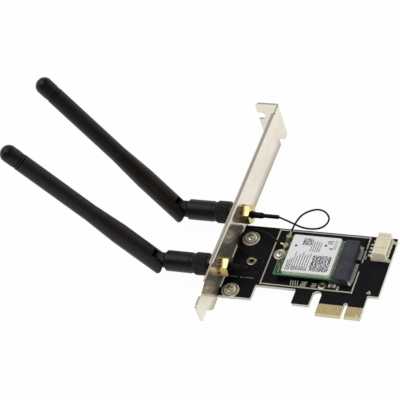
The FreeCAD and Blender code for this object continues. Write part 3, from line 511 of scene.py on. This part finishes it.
# bundles of copper lines: how many, which ends have a via, how much further every other line runs,
# and the first line's points, each with its step to the next line's
copper = {
    "front": [
        (3, [-1], 0, [(1.5, 5.8, 1, 0), (1.5, 19.5, 1, 1.7)]),
        (4, [-1], 0, [(4.5, 5.8, 1, 0), (4.5, 14.95, 1, 0.55), (6.85, 17.3, 1.25, 0.8),
                      (6.85, 24.6, 1.25, 1.7)]),
        (11, [-1], 1.3, [(-11.5, 5.8, 1, 0), (-11.5, 8.2, 1, 0)]),
        (5, [0], 0, [(-55.5, 18.6, 0.6, 0.62), (-47.0, 18.6, -0.4, 0.62), (-44.2, 21.4, 0, 0.22),
                     (-44.2, 30.0, 0, -1)]),
        (4, [], 0, [(2.2, 34.85, 0, 2), (1.2, 33.85, 0, 2), (1.2, 32.65, 0, 2.3)]),
        (4, [0], 0, [(9.5, 15.5, 0.7, 1), (9.5, 24.5, 0.7, 1), (7.5, 26.5, 0.7, 1), (7.5, 31.0, 0.7, 0)]),
    ],
    "back": [
        (11, [-1], 0, [(-11.5, 5.8, 1, 0), (-11.5, 11.0, 1, 0.5), (-14.5, 14.0, 1, 0.5),
                       (-14.5, 27.0, 1, -0.4)]),
        (6, [-1], 0, [(1.5, 5.8, 1, 0), (1.5, 12.0, 1, 0.6), (4.0, 14.5, 1, 0.6), (4.0, 33.0, 1, 0)]),
        (6, [-1, 0], 0, [(-44.0, 16.0, 0.7, 0), (-44.0, 34.0, 0.7, -1), (-38.0, 40.0, 0.7, -1),
                         (-20.0, 40.0, 0, -1)]),
    ],
    "frontWidth": 0.24, "backWidth": 0.26, "film": 0.03,
    "viaDome": [(0.34, 0), (0.3, 0.04), (0.18, 0.05), (0.12, 0.02), (0, 0.015)],
    "stray": (-56, -44, 27, 33, 16), "strayClear": 3.2,  # vias about the left hole, and how far off they stay
}


def copperLines(side):  # each line of a bundle is the first one moved on by its points' steps
    lines, vias = [], []
    for count, ends, further, points in copper[side]:
        first, step = np.hsplit(np.array(points, float), 2)
        bundle = [first + i * step for i in range(count)]
        for line in bundle[1::2]:
            line[-1, 1] += further
        lines += bundle
        vias += [line[end] for end in ends for line in bundle]
    return lines, vias


def boardTraces():  # copper lines under the mask, most of them with a via, and stray vias
    lines, vias = copperLines("front")
    place("boardTraces", ribbonSet(lines, copper["frontWidth"], boardTop, boardTop + copper["film"]), "trace")
    stray = scatter(*copper["stray"])
    vias += [p for p in stray if np.hypot(*(p - mountingHoles["left"][:2])) > copper["strayClear"]]
    centres = np.c_[np.array(vias), np.full(len(vias), boardTop)]
    place("boardVias", turnSet(centres, copper["viaDome"], 12), "trace")


def backTraces():  # the solder side: three bundles of lines and their via domes
    lines, vias = copperLines("back")
    place("backTraces", ribbonSet(lines, copper["backWidth"], -boardTop - copper["film"], -boardTop), "trace")
    centres = np.c_[np.array(vias), np.full(len(vias), -boardTop)]
    dome = np.array(copper["viaDome"])[::-1] * (1, -1)
    place("backVias", turnSet(centres, dome, 12), "trace")


window = {"x": ((-12.1, -1.0), (1.0, 8.1)), "y": (0.92, 6.1), "film": 0.02}


def fingerWindow():  # bare laminate between the contacts, where the mask stops
    film, (y0, y1) = window["film"], window["y"]
    spans = [(x0, x1, z) for z in (boardTop, -boardTop - film) for x0, x1 in window["x"]]
    lows = [(x0, y0, z) for x0, x1, z in spans]
    highs = [(x1, y1, z + film) for x0, x1, z in spans]
    place("fingerWindow", boxSet(lows, highs), "laminate")


labelFields = {
    "lines": [(-30.7, -28.9, 0.78, 18.5, 25.4, 0.4), (-28.2, -20.9, 1.16, 18.7, 29.6, 0.36),
              (-27.62, -21.2, 1.16, 18.6, 21.4, 0.3), (-22.3, -17.6, 1.0, 29.6, 36.6, 0.34),
              (-12.0, -10.5, 0.75, 31.8, 37.6, 0.22)],  # X from, to and pitch, Y from and to, width
    "bars": [(-15.4, -13.0, 34.8, 35.15), (-15.6, -13.1, 35.5, 35.85), (-15.4, -12.7, 36.2, 36.55),
             (-13.8, -12.3, 31.7, 32.05), (-13.9, -12.3, 32.4, 32.75)],
    "code": [(-19.8, -11.2, 19.1, 27.9, 0.37), (-26.7, -22.5, 33.1, 37.0, 0.3)],  # X and Y from and to, cell
    "spots": [(-29.4, 32.4), (-15.9, 33.8)], "spotRadius": 0.6, "film": 0.02,
    "indent": 0.4, "ragged": 0.22, "stroke": (0.6, 2.4), "gap": (0.14, 0.3), "cellFill": 0.94,
}


def labelPrint():  # columns of grey strokes, bars, rows of blocks and two spots, standing in for print
    film = labelFields["film"]
    top = labelTop + film
    lows, highs = [], []
    for x0, x1, pitch, y0, y1, wide in labelFields["lines"]:
        for x in np.arange(x0, x1, pitch):
            y = y0 + dice.uniform(0, labelFields["indent"])
            end = y1 - dice.uniform(0, labelFields["ragged"]) * (y1 - y0)
            while y < end:
                step = dice.uniform(*labelFields["stroke"])
                lows.append((x, y, labelTop))
                highs.append((x + wide, min(y + step, end), top))
                y += step + dice.uniform(*labelFields["gap"])
    for x0, x1, y0, y1 in labelFields["bars"]:
        lows.append((x0, y0, labelTop))
        highs.append((x1, y1, top))
    place("labelStrokes", boxSet(lows, highs), "ink")
    lows, highs = [], []
    for x0, x1, y0, y1, cell in labelFields["code"]:
        for y in np.arange(y0, y1, cell):
            x = x0 + cell * dice.integers(0, 2)
            while x < x1 - cell:
                wide = cell * dice.integers(1, 4)
                lows.append((x, y, labelTop))
                highs.append((min(x + wide, x1), y + cell * labelFields["cellFill"], top))
                x += wide + cell * dice.integers(1, 3)
    place("labelBlocks", boxSet(lows, highs), "inkDark")
    spots = [(x, y, labelTop) for x, y in labelFields["spots"]]
    radius = labelFields["spotRadius"]
    place("labelSpots", turnSet(spots, [(radius, 0), (radius, film), (0, film)], 20), "inkDark")


chips = {
    "rowMiddle": 28.1, "rowCount": 9, "rowPitch": 2.05, "rowHalf": 0.57, "rowCap": 0.26, "rowHeight": 0.43,
    "loose": [(-33.9, 19.0), (-33.9, 20.6), (-32.9, 22.4), (-34.6, 22.4), (-33.6, 24.4), (-33.2, 30.2),
              (-33.0, 35.0)],
    "looseEnds": (0.27, 0.5, 0.25, 0.34),  # half X, half Y, cap, height
    "looseBody": (0.25, 0.27, 0.32),  # half X, half Y, height
    "board": [(-8.8, 15.9, 1.63, 0.82, 0.83), (-5.9, 14.9, 0.5, 0.95, 0.52)],  # X, Y, half X, half Y, cap
    "boardHeight": 0.58,
    "between": 1.02, "betweenX": (0.5, 0.35), "betweenHalf": 0.2, "betweenHeight": 0.3, "skin": 0.02,
}
specks = {  # X from and to, Y from and to, count
    "cardSolder": ("tin", [(-9.65, -8.2, 17.4, 38.8, 120), (-12.5, -8.4, 38.3, 38.9, 24)]),
    "cardPads": ("contact", [(-35.9, -32.3, 17.3, 26.0, 6), (-31, -9.8, 17.25, 17.45, 40)]),
}
speckSize = {"half": (0.09, 0.2), "film": 0.03}


def chipCaps(x, y, halfX, halfY, cap, base, height):  # two boxes at the ends of a chip's longer side
    middle, half = np.array([x, y]), np.array([halfX, halfY])
    way = int(np.argmax(half))
    boxes = []
    for side in (-1, 1):
        low, high = middle - half, middle + half
        if side < 0:
            high[way] = low[way] + cap
        else:
            low[way] = high[way] - cap
        boxes.append(((*low, base), (*high, base + height)))
    return boxes


def cardParts():  # tin ends on the chips, small parts by the jacks, specks of pad and solder
    (x0, _, _), (x1, _, _) = boxMm("card_chips")
    count, skin = chips["rowCount"], chips["skin"]
    rows = chips["rowMiddle"] + (np.arange(count) - count // 2) * chips["rowPitch"]
    caps = []
    for y in rows:
        caps += chipCaps((x0 + x1) / 2, y, (x1 - x0) / 2 + skin, chips["rowHalf"], chips["rowCap"], cardTop,
                         chips["rowHeight"])
    halfX, halfY, cap, height = chips["looseEnds"]
    for x, y in chips["loose"]:
        caps += chipCaps(x, y, halfX, halfY, cap, cardTop, height)
    for chip in chips["board"]:
        caps += chipCaps(*chip, boardTop, chips["boardHeight"])
    place("chipEnds", boxSet(*zip(*caps)), "tin")
    halfX, halfY, height = chips["looseBody"]
    bodies = [((x - halfX, y - halfY, cardTop), (x + halfX, y + halfY, cardTop + height))
              for x, y in chips["loose"]]
    half, height, (inset, beyond) = chips["betweenHalf"], chips["betweenHeight"], chips["betweenX"]
    bodies += [((x0 + inset, y - half, cardTop), (x1 + beyond, y + half, cardTop + height))
               for y in rows[:-1] + chips["between"]]
    place("smallChips", boxSet(*zip(*bodies)), "ceramic")
    spots = {name: np.concatenate([scatter(*field) for field in fields])
             for name, (_, fields) in specks.items()}
    for name, where in spots.items():
        size = dice.uniform(*speckSize["half"], where.shape)
        level = np.full(len(where), cardTop)
        mesh = boxSet(np.c_[where - size, level], np.c_[where + size, level + speckSize["film"]])
        place(name, mesh, specks[name][0])


bareEdge = {"inset": 0.16, "short": 0.5, "run": 9.0, "width": 0.3, "film": 0.02}


def cardBorder():  # the bare border of the card, a light green line along its end and its front edge
    (x0, y0, _), (x1, _, _) = boxMm("card_board")
    x0, y0, x1 = x0 + bareEdge["inset"], y0 + bareEdge["inset"], x1 - bareEdge["short"]
    lines = [[(x0, y0), (x0, y0 + bareEdge["run"])], [(x0, y0), (x1, y0)]]
    place("cardBorder", ribbonSet(lines, bareEdge["width"], cardTop, cardTop + bareEdge["film"]), "border")


# holes: X, Y, outer and inner radius of the solder
mountingHoles = {"left": (-49.5, 25.5, 2.4, 1.02), "right": (-13.4, 15.9, 2.0, 0.66), "barrel": 1.09,
                 "film": 0.07, "bead": 0.2, "swell": 0.7}

boardInk()
footprintPads()
canSpringTabs()
boardTraces()
backTraces()
fingerWindow()
labelPrint()
cardParts()
cardBorder()
print("board and label work placed")


# turned pieces, in mm

def turnedShell(profile, ripple=None, count=96):  # (x, radius) line turned about X, its radius rippled
    profile = np.array(profile, float)
    angle = np.linspace(0, 2 * np.pi, count, endpoint=False)
    radius = np.broadcast_to(profile[:, 1:], (len(profile), count)).copy()
    if ripple is not None:
        radius += ripple(profile[:, :1], profile[:, 1:], angle[None])
    along = np.broadcast_to(profile[:, :1], radius.shape)
    return np.stack([along, radius * np.cos(angle), radius * np.sin(angle)], 2)


def stretch(profile, step):  # adds points along a profile so that none is further than step from the next
    profile = np.array(profile, float)
    out = [profile[:1]]
    for a, b in zip(profile[:-1], profile[1:]):
        count = max(1, int(np.ceil(np.linalg.norm(b - a) / step)))
        out.append(a + (b - a) * np.linspace(0, 1, count + 1)[1:, None])
    return np.concatenate(out)


couplingNut = {
    "ridges": 30, "depth": 0.34, "collar": 4.65, "collarLength": 1.65, "outer": 5.15, "bore": 3.78,
    "neck": 3.25, "wall": 1.0, "chamfer": 0.2, "fillet": (0.15, 0.08), "shoulder": 0.3,
    "crown": [(0.75, 0), (0.3, 0.25), (0, 0.7)], "fadeIn": (0.1, 0.2), "fadeOut": (0.4, 0.3), "sharp": 1.5,
    "step": 0.5,
}


def knurledNut(row, axis):  # straight knurl: the radius follows a rounded saw round the knurled length
    (end, _, _), (start, _, _) = boxMm(row + "_coupling_nut")
    collar, outer, bore, neck = [couplingNut[key] for key in ("collar", "outer", "bore", "neck")]
    knurl, inner = start - couplingNut["collarLength"], end + couplingNut["wall"]
    chamfer, (fillet, lift) = couplingNut["chamfer"], couplingNut["fillet"]
    crown = [(end + along, outer - drop) for along, drop in couplingNut["crown"]]
    loop = [(start, bore), (start, collar - chamfer), (start - chamfer, collar), (knurl + fillet, collar),
            (knurl, collar + lift), (knurl - couplingNut["shoulder"], outer), *crown, (end, neck),
            (inner, neck), (inner, bore), (start, bore)]

    def saw(x, r, angle):
        (before, rise), (after, fall) = couplingNut["fadeIn"], couplingNut["fadeOut"]
        inside = np.clip((knurl - before - x) / rise, 0, 1) * np.clip((x - end - after) / fall, 0, 1)
        wave = np.abs(np.sin(angle * couplingNut["ridges"] / 2))
        return -couplingNut["depth"] * inside * (r > collar) * (1 - wave) ** couplingNut["sharp"]

    points = turnedShell(stretch(loop, couplingNut["step"])[:-1], saw, couplingNut["ridges"] * 8)
    piece = place(row + "KnurledNut", gridMesh(points + axis, True), "antenna")
    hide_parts(row + "_coupling_nut")


shrinkSleeve = {
    "thick": 1.4, "thin": 0.95, "flare": 1.78, "over": 0.48, "taper": 0.4, "stepAt": 4.2, "ease": (0.5, 0.12),
    "slope": 1.2, "lip": 0.1, "wrinkle": 0.035, "step": 0.3,
    "waves": [(1, 3, 1.7, 0), (0.6, 5, -2.9, 1), (0.8, 0, 4.1, 0)],  # size, waves round, rate along, start
}


def shrunkSleeve(row, axis):  # a stepped tube, shrunk over the ferrule, whose radius wanders a little
    (start, _, _), (end, _, _) = boxMm(row + "_sleeve")
    thick, thin, flare, lip = [shrinkSleeve[key] for key in ("thick", "thin", "flare", "lip")]
    mouth, bend = start - shrinkSleeve["over"], start + shrinkSleeve["stepAt"]
    along, drop = shrinkSleeve["ease"]
    line = [(mouth, 0), (mouth, flare), (start, flare), (start + shrinkSleeve["taper"], thick), (bend, thick),
            (bend + along, thick - drop), (bend + shrinkSleeve["slope"], thin), (end - lip, thin),
            (end, thin - lip), (end, 0)]

    def wander(x, r, angle):
        waves = shrinkSleeve["waves"]
        wave = sum(size * np.sin(about * angle + rate * x + begin) for size, about, rate, begin in waves)
        most = sum(size for size, *_ in waves)
        return -shrinkSleeve["wrinkle"] * (0.5 + 0.5 * wave / most) * (r > thin - lip / 2)

    points = turnedShell(stretch(line, shrinkSleeve["step"]), wander, 48)
    piece = place(row + "ShrinkSleeve", gridMesh(points + axis), "shrink")
    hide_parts(row + "_sleeve")


stalkSwing = {"pivotX": -92.26, "tilt": 57.0, "upper": 3.9, "lower": -4.6}
stalkTip = {"joint": 78.0, "end": 88.0, "radius": 3.9, "round": 3.7, "plug": 2.15, "plugLength": 4.0,
            "groove": 0.6, "ring": 0.9, "ringDrop": 0.15}


def groovedTip(row, axis):  # a rounded cap turned about the stalk's axis, with a ring between two grooves
    joint, end, radius, soft = [stalkTip[key] for key in ("joint", "end", "radius", "round")]
    groove, plug, plugEnd = stalkTip["groove"], stalkTip["plug"], joint - stalkTip["plugLength"]
    ring, low, band = joint + groove, radius - groove, radius - stalkTip["ringDrop"]
    second = ring + stalkTip["ring"]
    turn = np.linspace(0, np.pi / 2, 14)[:, None]
    cap = np.hstack([end - soft + soft * np.sin(turn), radius - soft + soft * np.cos(turn)])
    neck = [(plugEnd, 0), (plugEnd, plug), (joint, plug), (joint, low), (ring, low), (ring, band),
            (second, band), (second, low), (second + groove, low), (second + groove, radius)]
    profile = np.concatenate([neck, cap, [(end, 0)]])
    tilt, lean = np.radians(stalkSwing["tilt"]), np.radians(stalkSwing[row])
    swing = np.array(Matrix.Rotation(-lean, 3, "X") @ Matrix.Rotation(tilt, 3, "Y"))
    points = turnedShell(profile * (-1, 1)) @ swing.T + axis + (stalkSwing["pivotX"], 0, 0)
    piece = place(row + "GroovedTip", gridMesh(points), "antenna", row + "_stalk")
    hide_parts(row + "_stalk_tip")


leadAxis = {"upper": (0, 47.2, 6.285), "lower": (0, 16.7, 6.285)}
for row, axis in leadAxis.items():
    knurledNut(row, np.array(axis))
    shrunkSleeve(row, np.array(axis))
    groovedTip(row, np.array(axis))


def smooth(value, low, high):  # cubic step from 0 to 1
    t = np.clip((value - low) / (high - low), 0, 1)
    return t * t * (3 - 2 * t)


panScrew = {
    "flange": 4.0, "ledge": 0.6, "radius": 3.1, "height": 2.3, "arm": 0.45, "reach": 1.6, "depth": 1.0,
    "shank": 3.63, "thread": 1.5, "pitch": 0.5,
    "upper": (-53.7, 37.7, 0.5), "lower": (-53.7, 7.9, 0.35),  # X, Y and turn of the cross
}
smallScrew = {
    "flange": 2.85, "ledge": 0.35, "radius": 2.25, "height": 1.1, "arm": 0.3, "reach": 1.1, "depth": 0.45,
    "shank": 3.1, "thread": 0.98, "pitch": 0.4, "card": (-36.1, 28.1, 0.2),
}
screwForm = {
    "domeRim": [(0.1, 0.55), (0.3, 0.95)],  # mm out and share of the ledge's height
    "flangeRim": [(-0.12, 0.9), (-0.03, 0.75), (0, 0.5), (0, 0)],
    "foot": 0.5, "shoulder": 0.4, "armFlank": 0.7, "reachFlank": 0.88, "shallow": 0.35,  # shares of the head
    "ridge": 0.44, "pointShare": 0.82,  # shares of the pitch and of the radius
    "plain": 0.3, "point": 0.25,  # mm from the end
}


def screwHead(centre, seat, screw):  # a dome on a flange, with a cross sunk into it, deeper at the middle
    middleX, middleY, turn = centre
    radius, height, ledge, flange = [screw[key] for key in ("radius", "height", "ledge", "flange")]
    arm, reach = screw["arm"], screw["reach"]
    foot, shoulder = ledge * screwForm["foot"], screwForm["shoulder"]
    share = np.linspace(0, 1, 64)
    dome = foot + (height - foot) * (1 - (1 - shoulder) * share ** 2 - shoulder * share ** 7)
    rim = [(radius + out, ledge * up) for out, up in screwForm["domeRim"]]
    rim += [(flange + out, ledge * up) for out, up in screwForm["flangeRim"]]
    r, z = np.concatenate([np.c_[radius * share, dome], rim, [(0, 0)]]).T
    r, angle = np.meshgrid(r, np.linspace(0, 2 * np.pi, 160, endpoint=False), indexing="ij")
    x, y = r * np.cos(angle), r * np.sin(angle)
    p, q = np.abs(x * np.cos(turn) + y * np.sin(turn)), np.abs(-x * np.sin(turn) + y * np.cos(turn))
    near, far = np.minimum(p, q), np.maximum(p, q)
    beside = smooth(near, arm * screwForm["armFlank"], arm)
    beyond = smooth(far, reach * screwForm["reachFlank"], reach)
    cross = (1 - beside) * (1 - beyond)
    onDome = (np.arange(len(z)) < len(share))[:, None]
    up = z[:, None] - cross * screw["depth"] * (1 - screwForm["shallow"] * far / reach) * onDome
    return gridMesh(np.stack([middleX + x, middleY + y, seat + up], 2))


def screwShank(centre, top, screw):  # ridged rod: the radius rises and falls along its length, to a plain end
    length, radius, pitch = screw["shank"], screw["thread"], screw["pitch"]
    down = np.linspace(0, length, int(length / pitch * 8))
    s, a = np.meshgrid(down, np.linspace(0, 2 * np.pi, 32, endpoint=False), indexing="ij")
    saw = np.abs(((s / pitch + a / (2 * np.pi)) % 1) * 2 - 1)
    r = radius - screwForm["ridge"] * pitch * saw * (s < length - screwForm["plain"])
    r = np.where(s > length - screwForm["point"], radius * screwForm["pointShare"], r)
    r, a, s = [np.vstack([grid, last]) for grid, last in ((r, 0 * r[-1:]), (a, a[-1:]), (s, s[-1:]))]
    return gridMesh(np.stack([centre[0] + r * np.cos(a), centre[1] + r * np.sin(a), top - s], 2))


for label in ("upper", "lower"):
    head = place(label + "BracketScrewHead", screwHead(panScrew[label], boardTop, panScrew), "screw")
    if label == "upper":
        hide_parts("bracket_screws")
    place(label + "BracketScrewShank", screwShank(panScrew[label], boardTop, panScrew), "screw")
head = place("cardScrewHead", screwHead(smallScrew["card"], cardTop, smallScrew), "cardScrew")
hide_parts("card_screw")
place("cardScrewShank", screwShank(smallScrew["card"], cardTop, smallScrew), "screw")


def platedRings():  # a bead of solder round the hole on both faces, a plated barrel, and a dark disc at its back end: painted shade for the shadowed floor seen through the hole
    wall, bead, under = mountingHoles["barrel"], mountingHoles["bead"], -2 * boardTop
    film = under + mountingHoles["film"]
    for label in ("left", "right"):
        x, y, outer, bore = mountingHoles[label]
        turn = np.linspace(0, np.pi, 9)
        swell = bead * np.sin(turn) ** mountingHoles["swell"]
        face = np.c_[(outer + bore) / 2 + (outer - bore) / 2 * np.cos(turn), swell]
        back = np.c_[face[::-1, 0], under - face[::-1, 1]]
        tube = [(bore, film), (bore, 0), (wall, 0), (wall, film), (bore, film)]
        # a dark disc across the barrel's back end, painted shade where the floor would show through
        shadeDisc = [(0, film), (wall, film), (wall, under), (0, under)]
        profiles = {"PlatedRing": [*face, face[0]], "BackRing": [*back, back[0]], "Barrel": tube,
                    "ShadeDisc": shadeDisc}
        for part, profile in profiles.items():
            # the disc of painted shade takes the dark mask finish
            key = "trace" if part == "ShadeDisc" else label + "Ring"
            piece = place(label + part, turnSet([(x, y, boardTop)], profile, 48), key)
            if label + part == "leftPlatedRing":
                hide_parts("plated_rings")


platedRings()

fillets = {"headerTails": (2.9, 0.9, 0.42), "headerAnchors": (12.1, 0.62, 0.8),
           "socketHoldDowns": (-1.5, 0.55, 0.75)}  # middle in X, half length, half width
filletShape = {"height": 0.32, "hollow": 1.6}


def solderFillets():  # low domes of solder round the feet of the header and the socket
    spots = [(x, y, long, wide) for group, (x, long, wide) in fillets.items() for y in footprint[group][1]]
    rise, angle = np.meshgrid(np.linspace(0, np.pi / 2, 7), np.linspace(0, 2 * np.pi, 20, endpoint=False),
                              indexing="ij")
    up = filletShape["height"] * np.sin(rise) ** filletShape["hollow"]
    for i, (x, y, long, wide) in enumerate(spots):
        points = np.stack([x + long * np.cos(rise) * np.cos(angle), y + wide * np.cos(rise) * np.sin(angle),
                           boardTop + up], 2)
        place("solderFillet%d" % i, gridMesh(points), "tin")


solderFillets()
print("turned pieces placed")

# stage, light and camera

shot = {
    "position": (0.26034, -0.44389, 0.60519), "right": (0.91151, 0.32366, -0.25376),
    "up": (-0.07962, 0.7442, 0.6632), "back": (0.4035, -0.58431, 0.70411), "lens": 167.89, "sensor": 36,
}
camera = bpy.data.objects.new("camera", bpy.data.cameras.new("camera"))
camera.data.lens = shot["lens"]
camera.data.sensor_width = shot["sensor"]
camera.data.clip_end = 20
axes = Matrix((shot["right"], shot["up"], shot["back"])).transposed()
camera.matrix_world = Matrix.Translation(shot["position"]) @ axes.to_4x4()
bpy.context.scene.collection.objects.link(camera)
bpy.context.scene.camera = camera

studio = {
    "lamps": [("over", (-0.44, 0.04, 0.84), 0.75, 3.0, True), ("side", (1.0, 0.25, 0.32), 0.5, 4.6, False),
              ("near", (0.5, -0.8, 0.2), 0.5, 1.8, False)],  # name, place, size, power, seen in mirrors
    "aim": (-0.04, 0.03, 0.02), "world": 0.52, "backdrop": 0.95, "ceiling": 0.4, "aisle": 0.12,
    "horizon": (0.15, 0.55), "behind": (0.1, 0.65), "floorHalf": 2, "floorDrop": 0.0004, "floorShow": 0.97,
    "floorMirror": 0.8,
}
for name, where, side, power, mirrored in studio["lamps"]:
    lamp = bpy.data.lights.new(name, "AREA")
    lamp.size = side
    lamp.energy = power
    thing = bpy.data.objects.new(name, lamp)
    thing.location = where
    thing.visible_glossy = mirrored  # only the overhead lamp draws a band on polished faces
    thing.rotation_euler = (Vector(studio["aim"]) - Vector(where)).to_track_quat("-Z", "Y").to_euler()
    bpy.context.scene.collection.objects.link(thing)


def seenWhite(tree):  # 1 for rays from the camera, a mirror or glass
    path = addNode(tree, "ShaderNodeLightPath").outputs
    plain = [path["Is Camera Ray"], path["Is Glossy Ray"]]
    first = addNode(tree, "ShaderNodeMath", plain, operation="MAXIMUM")
    return addNode(tree, "ShaderNodeMath", [first, path["Is Transmission Ray"]], operation="MAXIMUM")


world = bpy.data.worlds.new("studio")
world.use_nodes = True
bpy.context.scene.world = world
sky = world.node_tree
sky.nodes.clear()
heading = addNode(sky, "ShaderNodeTexCoord").outputs["Generated"]
aisle = addNode(sky, "ShaderNodeVectorMath", [heading, shot["back"]], operation="DOT_PRODUCT")
rise = addNode(sky, "ShaderNodeSeparateXYZ", [heading]).outputs["Z"]
wallFeeds = [rise, *studio["horizon"], studio["backdrop"], studio["ceiling"]]
wall = addNode(sky, "ShaderNodeMapRange", wallFeeds)  # white at the horizon, grey overhead
dimFeeds = [aisle, *studio["behind"], 1, studio["aisle"]]
dim = addNode(sky, "ShaderNodeMapRange", dimFeeds)  # and dim behind the camera
room = addNode(sky, "ShaderNodeMath", [wall, dim], operation="MULTIPLY")
cameraRay = addNode(sky, "ShaderNodeLightPath").outputs["Is Camera Ray"]
shown = addNode(sky, "ShaderNodeMath", [room, cameraRay], operation="MAXIMUM")
strength = addNode(sky, "ShaderNodeMix", {0: seenWhite(sky), 2: studio["world"], 3: shown})
glow = addNode(sky, "ShaderNodeBackground", {"Strength": strength}, Color=(1, 1, 1, 1))
addNode(sky, "ShaderNodeOutputWorld", {"Surface": glow})

floorMesh = bpy.data.meshes.new("floor")
floorZ, half = cadBox[0][2] - studio["floorDrop"], studio["floorHalf"]
corners = [(-half, -half, floorZ), (half, -half, floorZ), (half, half, floorZ), (-half, half, floorZ)]
floorMesh.from_pydata(corners, [], [(0, 1, 2, 3)])
floor = bpy.data.objects.new("floor", floorMesh)
bpy.context.scene.collection.objects.link(floor)
paper = bpy.data.materials.new("PaleStudioPaper")
paper.use_nodes = True
tree = paper.node_tree
tree.nodes.clear()
matt = addNode(tree, "ShaderNodeBsdfDiffuse", {"Color": "#f2f2f2"})
white = addNode(tree, "ShaderNodeEmission", Color=(1, 1, 1, 1), Strength=1.0)
cameraRay = addNode(tree, "ShaderNodeLightPath").outputs["Is Camera Ray"]
seen = addNode(tree, "ShaderNodeMapRange", [cameraRay, 0, 1, 0, studio["floorShow"]])
mirrorFeeds = [seenWhite(tree), 0, 1, 0, studio["floorMirror"]]
mirror = addNode(tree, "ShaderNodeMapRange", mirrorFeeds)  # metal keeps some of the shadow beside it
share = addNode(tree, "ShaderNodeMath", [seen, mirror], operation="MAXIMUM")
blend = addNode(tree, "ShaderNodeMixShader", [share, matt, white])
addNode(tree, "ShaderNodeOutputMaterial", {"Surface": blend})
floorMesh.materials.append(paper)
bpy.context.scene.view_settings.view_transform = "Standard"
print("stage ready")
